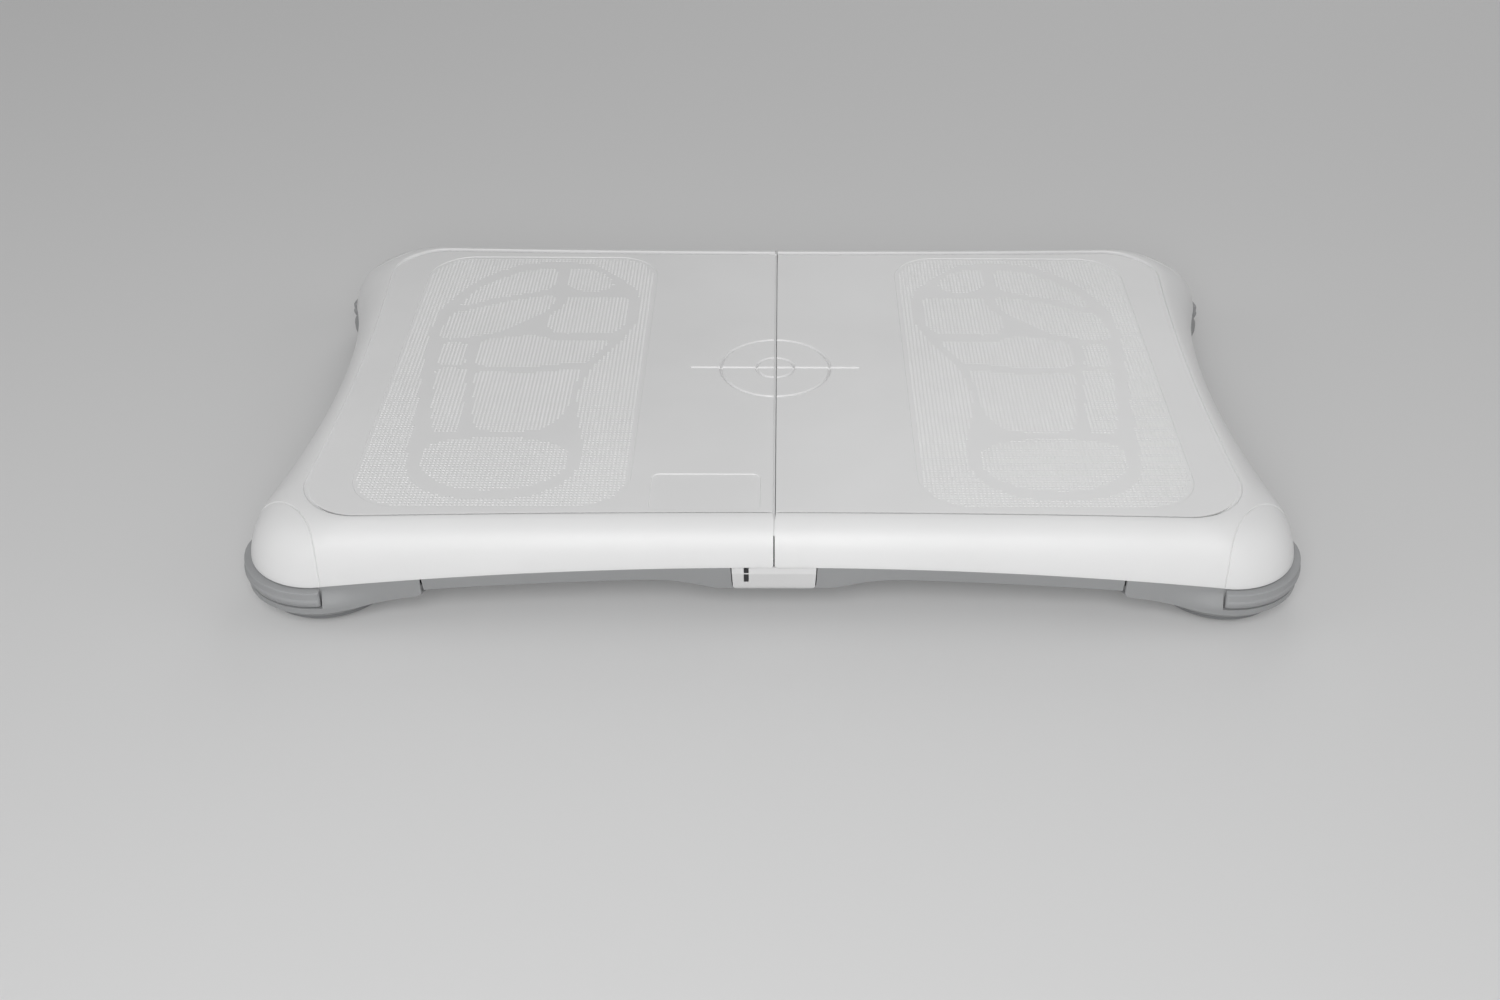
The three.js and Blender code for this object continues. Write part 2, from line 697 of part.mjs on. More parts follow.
// Bolt turned about Z, from the end of its shank to the far side of its head
function bolt(shankEnd, headStart, headEnd) {
  const { shankR, headR } = BOLT;
  const profile = [
    [0, shankEnd],
    [shankR, shankEnd],
    [shankR, headStart],
    [headR, headStart],
    [headR, headEnd],
    [0, headEnd],
  ];
  return turned(profile, 8);
}

function footBolt() {
  const headZ = CELL.z1 + FIT_GAP;
  return bolt(CUP.z1 + FIT_GAP, headZ, headZ + BOLT.headHeight);
}

// Load cell: a beam with a dog-bone hole that lets its free end rise under load
function loadCell(signX) {
  const midZ = (CELL.z0 + CELL.z1) / 2;
  const { nearX, farX, r, neck } = DOG_BONE;
  const turn = Math.asin(neck / r);
  const dogBone = [
    ...arcPoints(nearX, midZ, r, -Math.PI + turn, Math.PI - turn, 8),
    ...arcPoints(farX, midZ, r, turn, 2 * Math.PI - turn, 8),
  ];
  const bar = vectors([
    [CELL.fixed, CELL.z0],
    [CELL.free, CELL.z0],
    [CELL.free, CELL.z1],
    [CELL.fixed, CELL.z1],
  ]);
  const beam = prismAlongY(mirrored(bar, signX, 1), -CELL.halfY, CELL.halfY, [mirrored(dogBone, signX, 1)]);
  return cutBy(beam, [
    cylinder(0, 0, CELL.boreR, 0, TOP_Z, 12),
    cylinder(signX * CELL.boltX, 0, BOLT_HOLE_R, 0, TOP_Z, 12),
  ]);
}

function cellBolt() {
  const headTop = CELL.z0 - FIT_GAP;
  const clearOfDeck = 0.8;
  return bolt(DECK_UNDER_Z - clearOfDeck, headTop, headTop - BOLT.headHeight);
}

// Four-core lead from a load cell to the main board, as a tube along its route
function cellLead(signX, signY) {
  const start = [[189.5, 105, 36], [184, 91, 38]];
  const frontRoute = [...start, [146, 80, 41], [92, 76, 41], [58, 86, 39], [40, 92, 35]];
  const rearRoute = [...start, [150, 70, 41], [106, 26, 42], [52, -22, 42], [41, -46, 39], [34, -62, 35]];
  const route = (signY < 0 ? frontRoute : rearRoute).map(([x, y, z]) => (
    new THREE.Vector3(x * signX, y * signY, z)
  ));
  const section = new THREE.Shape(arcPoints(0, 0, LEAD.r, 0, 2 * Math.PI, LEAD.sides).slice(0, -1));
  const extrudePath = new THREE.CatmullRomCurve3(route);
  return solidOf(new THREE.ExtrudeGeometry(section, { steps: LEAD.steps, extrudePath, bevelEnabled: false }));
}

// Steel chassis: a plate with windows, turned-down flanges and a seat over each load cell

function ordered(a, b) {
  return a < b ? [a, b] : [b, a];
}

function steelChassis() {
  const { halfX, halfY, r, z0, z1, flangeZ, sheet } = CHASSIS;
  const plate = prism(roundedRectangle(-halfX, halfX, -halfY, halfY, r), z0, z1);
  const flanges = [-1, 1].flatMap((side) => [
    block(-FLANGE.halfX, FLANGE.halfX, ...ordered(side * halfY, side * (halfY - sheet)), flangeZ, z1),
    block(...ordered(side * halfX, side * (halfX - sheet)), -FLANGE.halfY, FLANGE.halfY, flangeZ, z1),
  ]);
  const seats = cornerSigns().map(([sx, sy]) => {
    const [x0, x1] = ordered(sx * (FOOT_X + CELL.fixed), sx * (FOOT_X + SEAT.outer));
    const y = sy * FOOT_Y;
    return block(x0, x1, y - SEAT.halfY, y + SEAT.halfY, CELL.z1 + FIT_GAP, z1);
  });
  const windows = [-1, 1].map((side) => prism(
    mirrored(roundedRectangle(WINDOW.x0, WINDOW.x1, -WINDOW.halfY, WINDOW.halfY, WINDOW.r, 4), side, 1),
    0,
    TOP_Z,
  ));
  const boltHoles = cornerSigns().map(([sx, sy]) => (
    cylinder(sx * (FOOT_X + CELL.boltX), sy * FOOT_Y, BOLT_HOLE_R, 0, TOP_Z, 12)
  ));
  return cutBy(joined([plate, ...flanges, ...seats]), [...windows, ...boltHoles]);
}

// Electronics

function mainBoard() {
  const { halfX, y0, y1, z0, z1, r } = BOARD;
  return prism(roundedRectangle(-halfX, halfX, y0, y1, r, 3), z0, z1);
}

function radioShield() {
  const { x0, x1, y0, y1, height } = SHIELD;
  return block(x0, x1, y0, y1, BOARD.z1 + FIT_GAP, BOARD.z1 + height);
}

function powerSwitch() {
  const { halfX, y0, y1, z0 } = POWER_SWITCH;
  const overlap = 0.5;
  const body = block(-halfX, halfX, y0, y1, z0, BOARD.z0 - FIT_GAP);
  return body.add(block(-PLUNGER.halfX, PLUNGER.halfX, PLUNGER.y0, y0 + overlap, PLUNGER.z0, PLUNGER.z1));
}

function syncSwitch() {
  const { half, z0, domeR, domeZ } = SYNC_SWITCH;
  const { x, y } = SYNC;
  const body = block(x - half, x + half, y - half, y + half, z0, BOARD.z0 - FIT_GAP);
  return body.add(cylinder(x, y, domeR, domeZ, z0 + 0.7, 12));
}

// Buttons

// The button's side view, whose face leans back above a crease
function buttonSide(lowZ, topZ, backY) {
  const { frontY, creaseZ } = BUTTON;
  const lean = 0.5;
  return vectors([
    [frontY, lowZ],
    [frontY, creaseZ],
    [frontY + lean * (topZ - creaseZ), topZ],
    [backY, topZ],
    [backY, lowZ],
  ]);
}

function powerButton() {
  const { halfX, z0, z1, frontY, backY } = BUTTON;
  const face = prismAlongY(buttonFace(0, 0, z1), frontY, backY);
  const side = prismAlongX(buttonSide(z0, z1, backY), -halfX, halfX);
  const stem = block(-STEM.halfX, STEM.halfX, backY - 1, STEM.endY, STEM.z0, STEM.z1);
  const window = block(
    LENS.x - LENS.halfX - LENS.gap,
    LENS.x + LENS.halfX + LENS.gap,
    frontY - 1,
    backY + 1,
    LENS.z0 - LENS.gap,
    TOP_Z,
  );
  return face.intersect(side).subtract(window).add(stem);
}

function powerLightLens() {
  const depth = 0.4;
  return prismAlongX(
    buttonSide(LENS.z0, LENS.z1, BUTTON.backY + depth),
    LENS.x - LENS.halfX,
    LENS.x + LENS.halfX,
  );
}

function syncButton() {
  const { x, y, r, z0, flangeR, flangeZ, z1 } = SYNC;
  const edge = 0.4;
  return turned([
    [0, z0],
    [r - edge, z0],
    [r, z0 + edge],
    [r, flangeZ],
    [flangeR, flangeZ],
    [flangeR, z1],
    [0, z1],
  ], 10).translate([x, y, 0]);
}

// Battery door and cells

// A flat door whose rear edge is rolled round its hinge line
function batteryDoor() {
  const { halfX, y0, axisY, z0, thick } = DOOR;
  const { lift, notchX, notchHalf, notchDepth } = LATCH;
  const roll = arcPoints(axisY, z0 + thick / 2, thick / 2, -Math.PI / 2, Math.PI / 2, 6);
  const section = [new THREE.Vector2(y0, z0), ...roll, new THREE.Vector2(y0, z0 + thick)];
  const underLatch = block(-LATCH.halfX, LATCH.halfX, y0 - 1, y0 + 3, 0, z0 + lift);
  const sideNotches = [-notchX, notchX].map((x) => (
    block(x - notchHalf, x + notchHalf, y0 - 1, y0 + notchDepth, 0, TOP_Z)
  ));
  return cutBy(prismAlongX(section, -halfX, halfX), [underLatch, ...sideNotches]);
}

function batteryCell(y, signX) {
  const { r, half, z, capHeight, capR } = AA;
  const edge = 0.5;
  const profile = [
    [0, -half],
    [r - edge, -half],
    [r, -half + edge],
    [r, half - capHeight - edge],
    [r - edge, half - capHeight],
    [capR, half - capHeight],
    [capR, half],
    [0, half],
  ];
  const geometry = new THREE.LatheGeometry(vectors(profile), 14).rotateZ((-signX * Math.PI) / 2);
  return solidOf(geometry.translate(0, y, z));
}

function contactStrip(signX) {
  const { x0, x1, halfY, z0, z1, tipX, bump } = STRIP;
  const plate = block(...ordered(signX * x0, signX * x1), -halfY, halfY, z0, z1);
  const bumps = CELL_ROWS.map((y) => (
    block(...ordered(signX * x0, signX * tipX), y - bump, y + bump, AA.z - bump, AA.z + bump)
  ));
  return joined([plate, ...bumps]);
}

// Fastener in a tray boss
function trayScrew() {
  const { headR, headHeight, shankR, end } = SCREW;
  const seat = BOSS.wellTop - FIT_GAP;
  const low = seat - headHeight;
  const edge = 0.4;
  return turned([
    [0, low],
    [headR - edge, low],
    [headR, low + edge],
    [headR, seat],
    [shankR, seat],
    [shankR, end],
    [0, end],
  ], 8);
}

// Assembly

const board = new THREE.Group();

function add(parent, name, solid, look, [x, y, z] = [0, 0, 0]) {
  const mesh = new THREE.Mesh(geometryOf(solid), look);
  mesh.name = name;
  mesh.position.set(x, y, z);
  parent.add(mesh);
}

function flipped(geometry, signX, signY) {
  geometry.scale(signX, signY, 1);
  return solidOf(geometry);
}

function addDeck(parent) {
  const shell = deckShell();
  const farX = 300;
  const capRegions = (gap) => cornerSigns().map(([sx, sy]) => (
    prism(mirrored(capRegion(gap), sx, -sy), 0, 2 * TOP_Z)
  ));
  const rest = cutBy(shell, [...deckCuts(), ...capRegions(CAP_GAP)]);
  const half = (side) => {
    const across = spanAcross(...ordered((side * CENTRE_GAP) / 2, side * farX));
    return joined([rest.intersect(across), ...deckRibs(side)]);
  };
  add(parent, 'deck_shell_left', half(-1).add(seamTongue()), WHITE);
  add(parent, 'deck_shell_right', half(1), WHITE);
  cornerSigns().forEach((signs, k) => {
    add(parent, `corner_cap_${cornerName(signs)}`, shell.intersect(capRegions(0)[k]), WHITE);
  });
}

function addCorners(parent) {
  const fairing = footFairing();
  const bumper = cornerBumper();
  cornerSigns().forEach(([sx, sy]) => {
    const name = cornerName([sx, sy]);
    const foot = [sx * FOOT_X, sy * FOOT_Y, 0];
    add(parent, `foot_fairing_${name}`, flipped(geometryOf(fairing), sx, -sy), GREY);
    add(parent, `corner_bumper_${name}`, flipped(geometryOf(bumper), sx, -sy), BUMPER_GREY);
    add(parent, `foot_cup_${name}`, footCup(), FOOT_GREY, foot);
    add(parent, `foot_pad_${name}`, footPad(), RUBBER, foot);
    add(parent, `foot_bolt_${name}`, footBolt(), BRIGHT, foot);
    add(parent, `load_cell_${name}`, loadCell(sx), CELL_STEEL, foot);
    add(parent, `load_cell_bolt_${name}`, cellBolt(), BRIGHT, [sx * (FOOT_X + CELL.boltX), foot[1], 0]);
    add(parent, `load_cell_lead_${name}`, cellLead(sx, sy), LEAD_GREY);
  });
}

function addTray(parent) {
  add(parent, 'bottom_tray', bottomTray(), GREY);
  add(parent, 'steel_chassis', steelChassis(), STEEL);
  BOSS_PLACES.forEach(([x, y], k) => add(parent, `tray_screw_${k + 1}`, trayScrew(), BRIGHT, [x, y, 0]));
}

function addElectronics(parent) {
  add(parent, 'main_board', mainBoard(), BOARD_GREEN);
  add(parent, 'radio_shield', radioShield(), BRIGHT);
  add(parent, 'power_switch', powerSwitch(), BLACK);
  add(parent, 'power_button', powerButton(), WHITE);
  add(parent, 'power_light_lens', powerLightLens(), BLACK);
  add(parent, 'sync_switch', syncSwitch(), BLACK);
  add(parent, 'sync_button', syncButton(), RED);
}

function addBatteries(parent) {
  add(parent, 'battery_door', batteryDoor(), GREY);
  CELL_ROWS.forEach((y, k) => {
    add(parent, `battery_cell_${k + 1}`, batteryCell(y, k % 2 === 0 ? 1 : -1), CELL_WRAP);
  });
  add(parent, 'battery_contact_left', contactStrip(-1), BRIGHT);
  add(parent, 'battery_contact_right', contactStrip(1), BRIGHT);
}

addDeck(board);
addCorners(board);
addTray(board);
addElectronics(board);
addBatteries(board);

export default board;
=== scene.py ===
# Looks of the game console balance board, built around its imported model.
# Pieces are made in millimetres in the model's frame and turned to metres when they are finished.

import json
import math

import bmesh
import bpy
import numpy as np
from mathutils import Matrix, Vector


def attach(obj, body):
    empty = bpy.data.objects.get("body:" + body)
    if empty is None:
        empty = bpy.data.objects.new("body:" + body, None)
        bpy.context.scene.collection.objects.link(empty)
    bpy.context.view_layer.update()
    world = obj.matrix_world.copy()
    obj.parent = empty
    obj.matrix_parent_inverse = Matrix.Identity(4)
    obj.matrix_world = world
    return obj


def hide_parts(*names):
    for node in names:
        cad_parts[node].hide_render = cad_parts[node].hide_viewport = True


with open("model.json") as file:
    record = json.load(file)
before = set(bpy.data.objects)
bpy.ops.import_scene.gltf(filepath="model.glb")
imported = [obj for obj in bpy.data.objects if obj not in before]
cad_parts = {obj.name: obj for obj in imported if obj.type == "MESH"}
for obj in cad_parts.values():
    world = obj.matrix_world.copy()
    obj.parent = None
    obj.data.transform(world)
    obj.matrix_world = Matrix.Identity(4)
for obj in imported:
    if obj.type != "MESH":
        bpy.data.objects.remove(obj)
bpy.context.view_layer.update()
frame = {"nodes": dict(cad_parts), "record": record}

MM = 0.001
QUARTER = math.pi / 2

# Angles in degrees from which an edge is shaded as an edge, and from which a bevel rounds it
SHARP_ANGLE = 32.0
BEVEL_ANGLE = 50.0

# Camera fitted to the photograph, in millimetres and degrees. The shift is a share of the picture's width,
# and the reach is in metres.
CAMERA_AT = (3.519, -742.667, 499.713)
CAMERA_PITCH = 35.739
CAMERA_YAW = 0.696
CAMERA_ROLL = 0.532
CAMERA_LENS = 38.83
CAMERA_SENSOR = 36.0
CAMERA_SHIFT = -0.03174
CAMERA_REACH = 50.0

# Driving dimensions, the same as the model's
FOOT_X = 216.5
FOOT_Y = 119.0
TOP_Z = 53.2
FIT_GAP = 0.3

# Plan of the deck's lower edge and of its top panel, and the points drawn along a quarter of each
DECK_EDGE = {"corner_x": FOOT_X, "corner_y": FOOT_Y, "corner_r": 34.8, "mid_x": 233.7, "mid_y": 148.8}
PANEL_EDGE = {"corner_x": 195.2, "corner_y": 106.0, "corner_r": 29.9, "mid_x": 221.4, "mid_y": 132.7}
FRONT_STEPS = 36
CORNER_STEPS = 26
SIDE_STEPS = 22
FRONT_CROWDING = 1.15

# Height of the deck's lower edge, which falls towards the corners
EDGE_MID_Z = 33.1
EDGE_DROP = 8.5
EDGE_RUN_X = 215.0
EDGE_RUN_Y = 119.0
EDGE_LIP = 0.5

# The slit round the top panel is deep along the front and rear, and shallow along the sides
PANEL_Z = TOP_Z - 0.8
SLIT_DEPTH = {"front": 1.7, "side": 0.16}
DECK_SKIN = 2.6
DECK_UNDER_Z = 49.6

# Shoulder section, as shares of the way out from the panel and of the height above the lower edge
SHOULDER = {"lead": (0.13, 1.0), "bend": (0.32, 0.92), "brow": (0.892, 0.679)}
OUTSIDE_STEPS = (7, 16)
UNDER_STEPS = (2, 5)

# Half-widths of the seam between the deck halves, which is wide on the panel and fine on the walls, and the
# strip that closes it from below
SEAM = {"wide": 0.78, "fine": 0.3, "wide_y": 133.0, "fine_y": 138.0, "corner_r": 2.0, "corner_y": 143.0}
TONGUE = {"depth": 1.3, "under_inset": 3.9, "x0": -4.0, "x1": 0.35, "foot": 46.9}
PAST_BOARD_Y = 170.0
FAR_Y = 200.0

# Plan curve of the seam round a corner cap, and the groove along it
CAP_SEAM = [(211.0, 158.0), (210.5, 146.0), (222.0, 116.0), (258.0, 113.0)]
CAP_BEYOND = (270.0, -PAST_BOARD_Y)
CAP_GAP = 0.06
GROOVE = {"r": 0.6, "lift": 0.2, "sides": 8, "spacing": 0.25}

PAD = {"x0": 69.3, "x1": 202.6, "half_y": 126.9, "r": 24.5, "depth": 0.5}
NAME_RECESS = {"x0": -59.3, "x1": -6.7, "y0": -129.5, "y1": -99.4, "r": 4.0, "depth": 0.5}
MARK = {"outer_r": 29.0, "inner_r": 10.0, "half_line": 45.6, "width": 2.0, "depth": 1.15}

TRAY = {
    "inset": 0.8,
    "wall": 2.4,
    "band": 7.5,
    "floor": 18.5,
    "floor_top": 21.0,
    "slope": 0.6,
    "slope_inset": 12.0,
    "gap": 0.4,
    "skin": 0.6,
}
HOUSING = {"z": 19.8, "flat": 29.2, "end": 62.0}
FAIRING_R = 60.0
FAIRING_GAP = 1.0
FAIRING_HIGH = 40.0
RIM_TOP = 22.0
BUMPER = {"inner_r": 34.4, "outer_r": 39.0, "z0": 15.0, "z1": 24.0, "end_x": -5.0, "end_y": -2.0}

# How far past the foot's middle a front and a rear bumper end on the side wall, and how long each end tapers
BUMPER_TAILS = {-1: (9.0, 17.0), 1: (0.0, 2.0)}
BUMPER_FRONT_TAPER = 1.6

# The skirt under a bumper stands out to the radius, and runs out past the bumper's ends
SKIRT = {"r": 38.0, "run": 24.0, "clear_angle": 0.012, "top": 23.0}
FOOT_HOLE_R = 32.2
FOOT_R = 31.2
CHASSIS_Z = 46.4
BAY = {"half_x": 29.5, "half_y": 31.0, "wall": 2.0, "top": 36.0}
DOOR = {"half_x": 32.6, "y0": -46.6, "axis_y": 34.7, "z0": 18.5, "thick": 1.8, "gap": 0.4, "ledge": 2.4}
SYNC = {"x": 18.0, "y": -39.0, "r": 2.8, "gap": 0.4}
SYNC_POCKET = {"outer_x": 10.0, "inner_x": 8.0, "top": 23.5, "roof": 1.5}
NOTCH = {"depth": 1.3, "reach": 8.0, "half_x": 9.0}
# The button's slot is wider behind the wall's skin, and runs through past the button's back
BUTTON = {
    "half_x": 19.9,
    "taper": 0.6,
    "z0": 20.6,
    "z1": 32.5,
    "crease": 29.6,
    "lean": 0.5,
    "front": -148.7,
    "back": -146.2,
    "r": 2.0,
    "side_gap": 0.6,
    "sill_gap": 0.25,
    "behind": 1.5,
    "through": 1.6,
}
STEM = {"half_x": 3.0, "y1": -142.4, "z0": 26.0, "z1": 29.5}
LENS = {"x": -13.0, "half_x": 1.0, "z0": 25.0, "z1": 32.4, "gap": 0.2, "rib": 0.2}
BOSS_PLACES = [(-75, -108), (75, -108), (-172, 0), (172, 0), (-75, 108), (75, 108)]
BOSS = {"r": 6.5, "z0": 19.5, "well_r": 4.5, "well_top": 24.0, "hole_r": 2.0}
CORNERS = {"front_left": (-1, -1), "front_right": (1, -1), "rear_left": (-1, 1), "rear_right": (1, 1)}


# Camera, light and floor


def placed(name, data):
    """A new object in the scene."""
    thing = bpy.data.objects.new(name, data)
    bpy.context.scene.collection.objects.link(thing)
    return thing


def add_camera():
    pitch, yaw, roll = (math.radians(a) for a in (CAMERA_PITCH, CAMERA_YAW, CAMERA_ROLL))
    forward = Vector((math.sin(yaw) * math.cos(pitch), math.cos(yaw) * math.cos(pitch), -math.sin(pitch)))
    right = Vector((math.cos(yaw), -math.sin(yaw), 0.0))
    up = right.cross(forward)
    tilted_right = math.cos(roll) * right + math.sin(roll) * up
    tilted_up = -math.sin(roll) * right + math.cos(roll) * up
    data = bpy.data.cameras.new("camera")
    data.lens = CAMERA_LENS
    data.sensor_width = CAMERA_SENSOR
    data.shift_x = CAMERA_SHIFT
    data.clip_end = CAMERA_REACH
    camera = placed("camera", data)
    axes = Matrix((tilted_right, tilted_up, -forward)).transposed()
    camera.matrix_world = Matrix.Translation(Vector(CAMERA_AT) * MM) @ axes.to_4x4()
    bpy.context.scene.camera = camera


# Soft lamps: name, place and diameter in metres, and the level of light on a white surface that faces it
LAMPS = [
    ("key_light", (-0.05, -1.15, 0.85), 0.9, 0.56),
    ("back_light", (0.5, 1.8, 1.25), 1.3, 0.1),
    ("left_light", (-1.9, -0.3, 1.1), 1.3, 0.08),
    ("right_light", (1.9, -0.3, 1.1), 1.3, 0.08),
]
LAMP_TARGET = Vector((0.0, 0.0, 0.03))
WHITE = (1.0, 1.0, 1.0, 1.0)
WORLD_LEVEL = 0.22
BACKDROP_LEVEL = 0.6
FLOOR_HALF = 6.0
FLOOR_COLOUR = (0.66, 0.66, 0.66, 1.0)
FLOOR_PALENESS = 0.08


def add_lights():
    for name, place, size, wanted in LAMPS:
        aim = LAMP_TARGET - Vector(place)
        data = bpy.data.lights.new(name, "AREA")
        data.shape = "DISK"
        data.size = size
        data.energy = math.pi**2 * aim.length_squared * wanted
        lamp = placed(name, data)
        lamp.rotation_euler = aim.to_track_quat("-Z", "Y").to_euler()
        lamp.location = place
    world = bpy.data.worlds.new("studio")
    world.use_nodes = True
    tree = world.node_tree
    shown = seen_directly(tree, WORLD_LEVEL, BACKDROP_LEVEL)
    fill(tree, tree.nodes["Background"], {"Color": WHITE, "Strength": shown})
    bpy.context.scene.world = world


def add_floor():
    corners = [(-1, -1), (1, -1), (1, 1), (-1, 1)]
    mesh = bpy.data.meshes.new("floor")
    mesh.from_pydata([(x * FLOOR_HALF, y * FLOOR_HALF, 0) for x, y in corners], [], [(0, 1, 2, 3)])
    tree, shader = new_material("floor_pale")
    fill(tree, shader, {
        "Base Color": FLOOR_COLOUR,
        "Roughness": 0.7,
        "Specular IOR Level": 0.2,
        "Emission Color": WHITE,
        "Emission Strength": seen_directly(tree, 0.0, FLOOR_PALENESS),
    })
    mesh.materials.append(MATERIALS["floor_pale"])
    floor = placed("floor", mesh)


# Mesh helpers. A piece that isn't finished yet is called work.


def mesh_object(points, faces):
    mesh = bpy.data.meshes.new("work")
    mesh.from_pydata(points.tolist(), [], faces)
    work = bmesh.new()
    work.from_mesh(mesh)
    bmesh.ops.recalc_face_normals(work, faces=work.faces)
    work.to_mesh(mesh)
    work.free()
    return placed("work", mesh)


def loft(rings, closed=False):
    """A skin over rings of equal count, with flat ends, or with its last ring joined to its first."""
    count = len(rings[0])
    around = np.arange(count)
    following = (around + 1) % count
    faces = []
    for k in range(len(rings) if closed else len(rings) - 1):
        low, high = k * count, (k + 1) % len(rings) * count
        faces += np.column_stack([low + around, low + following, high + following, high + around]).tolist()
    if not closed:
        faces += [around[::-1].tolist(), ((len(rings) - 1) * count + around).tolist()]
    return mesh_object(np.vstack(rings), faces)


def level(ring, z):
    """A ring at one height, or at a height for each point."""
    return np.column_stack([ring, np.full(len(ring), z, float)])


def turned(profile, steps, at=(0.0, 0.0)):
    """A line of (radius, z) points turned about an upright axis, which starts and ends on it or closes."""
    on_axis = profile[0][0] == 0 and profile[-1][0] == 0
    angles = np.linspace(0, 2 * math.pi, steps, endpoint=False)
    rings = [
        level(np.column_stack([at[0] + r * np.cos(angles), at[1] + r * np.sin(angles)]), z)
        for r, z in (profile[1:-1] if on_axis else profile)
    ]
    return loft(rings, closed=not on_axis)


def prism(ring, z0, z1):
    return loft([level(ring, z0), level(ring, z1)])


def block(x0, x1, y0, y1, z0, z1):
    return prism(np.array([(x0, y0), (x1, y0), (x1, y1), (x0, y1)], float), z0, z1)


def prism_along(axis, section, start, end):
    """A section of (y, z) points run along X, or of (x, z) points run along Y."""
    section = np.array(section, float)
    return loft([np.insert(section, "XY".index(axis), place, axis=1) for place in (start, end)])


def arc(cx, cy, radius, start, end, steps):
    angles = np.linspace(start, end, steps + 1)
    return np.column_stack([cx + radius * np.cos(angles), cy + radius * np.sin(angles)])


def rounded_rectangle(x0, x1, y0, y1, radius, steps):
    left, right = x0 + radius, x1 - radius
    low, high = y0 + radius, y1 - radius
    centres = [(right, low), (right, high), (left, high), (left, low)]
    return np.vstack([
        arc(x, y, radius, (k - 1) * QUARTER, k * QUARTER, steps) for k, (x, y) in enumerate(centres)
    ])


def remove(piece):
    mesh = piece.data
    bpy.data.objects.remove(piece)
    bpy.data.meshes.remove(mesh)


def together(parts):
    """One object that holds the meshes of several."""
    work = bmesh.new()
    for part in parts:
        work.from_mesh(part.data)
        remove(part)
    mesh = bpy.data.meshes.new("work")
    work.to_mesh(mesh)
    work.free()
    return placed("work", mesh)


def apply_modifiers(piece):
    graph = bpy.context.evaluated_depsgraph_get()
    mesh = bpy.data.meshes.new_from_object(piece.evaluated_get(graph))
    old = piece.data
    piece.modifiers.clear()
    piece.data = mesh
    bpy.data.meshes.remove(old)
    return piece


def combine(piece, operation, *others):
    """The piece cut by the others, joined to them or kept inside them: DIFFERENCE, UNION or INTERSECT."""
    for other in others:
        modifier = piece.modifiers.new("combine", "BOOLEAN")
        modifier.operation = operation
        modifier.solver = "EXACT"
        modifier.object = other
        apply_modifiers(piece)
        remove(other)
    return piece


def rounded(piece, width, segments=2):
    """The piece with a bevel on its sharp edges."""
    modifier = piece.modifiers.new("round", "BEVEL")
    modifier.width = width
    modifier.segments = segments
    modifier.limit_method = "ANGLE"
    modifier.angle_limit = math.radians(BEVEL_ANGLE)
    return apply_modifiers(piece)


def copied(piece, sign_x=1, sign_y=1):
    """A copy of a piece, mirrored where a sign is negative."""
    mesh = piece.data.copy()
    mesh.transform(Matrix.Diagonal((sign_x, sign_y, 1, 1)))
    if sign_x * sign_y < 0:
        mesh.flip_normals()
    return placed("work", mesh)


def parted(piece):
    """The loose parts of a mesh as objects of their own. The piece itself is removed."""
    work = bmesh.new()
    work.from_mesh(piece.data)
    work.verts.ensure_lookup_table()
    seen = set()
    parts = []
    for start in work.verts:
        if start.index in seen:
            continue
        group = set()
        waiting = [start]
        while waiting:
            vert = waiting.pop()
            if vert.index not in group:
                group.add(vert.index)
                waiting += [edge.other_vert(vert) for edge in vert.link_edges]
        seen |= group
        part = work.copy()
        part.verts.ensure_lookup_table()
        bmesh.ops.delete(part, geom=[v for v in part.verts if v.index not in group], context="VERTS")
        mesh = bpy.data.meshes.new("work")
        part.to_mesh(mesh)
        part.free()
        parts.append(placed("work", mesh))
    work.free()
    remove(piece)
    return parts


def centre_of(piece):
    points = np.array([v.co for v in piece.data.vertices])
    return (points.min(0) + points.max(0)) / 2


def finish_piece(piece, name, body, slot, *replaces):
    """Turns a piece to metres, gives it its name, body and the material of its slot, and hides the nodes it
    stands for.
    """
    mesh = piece.data
    mesh.transform(Matrix.Scale(MM, 4))
    mesh.materials.clear()
    mesh.materials.append(MATERIALS[slot])
    mesh.polygons.foreach_set("use_smooth", [True] * len(mesh.polygons))
    mesh.set_sharp_from_angle(angle=math.radians(SHARP_ANGLE))
    weighted = piece.modifiers.new("weighted", "WEIGHTED_NORMAL")
    weighted.keep_sharp = True
    apply_modifiers(piece)
    piece.name = name
    piece.data.name = name
    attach(piece, body)
    if replaces:
        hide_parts(*replaces)


# Materials, by the name of their slot

MATERIALS = {}

# Noise scales of the plastics' slow change of tone, uneven gloss and patches of wear
TONE_SCALE = 9.0
GLOSS_SCALE = 30.0
WEAR_SCALE = 160.0
WEAR_RADIUS = 0.6 * MM
GRAIN_DEPTH = 0.2 * MM
# Occlusion values over which the painted shade in seams and corners fades from darkest to none
PAINTED_SHADE_RAMP = (0.2, 0.5)


def new_material(name):
    material = bpy.data.materials.new(name)
    material.use_nodes = True
    MATERIALS[name] = material
    tree = material.node_tree
    return tree, tree.nodes["Principled BSDF"]


def fill(tree, node, inputs):
    """Sets a node's inputs to plain values, or links them to the outputs of other nodes."""
    for key, value in inputs.items():
        if isinstance(value, bpy.types.NodeSocket):
            tree.links.new(value, node.inputs[key])
        else:
            node.inputs[key].default_value = value


def add_node(tree, kind, inputs, **settings):
    node = tree.nodes.new(kind)
    for name, value in settings.items():
        setattr(node, name, value)
    fill(tree, node, inputs)
    return node


def coordinates(tree):
    for node in tree.nodes:
        if node.type == "TEX_COORD":
            return node.outputs["Object"]
    return tree.nodes.new("ShaderNodeTexCoord").outputs["Object"]


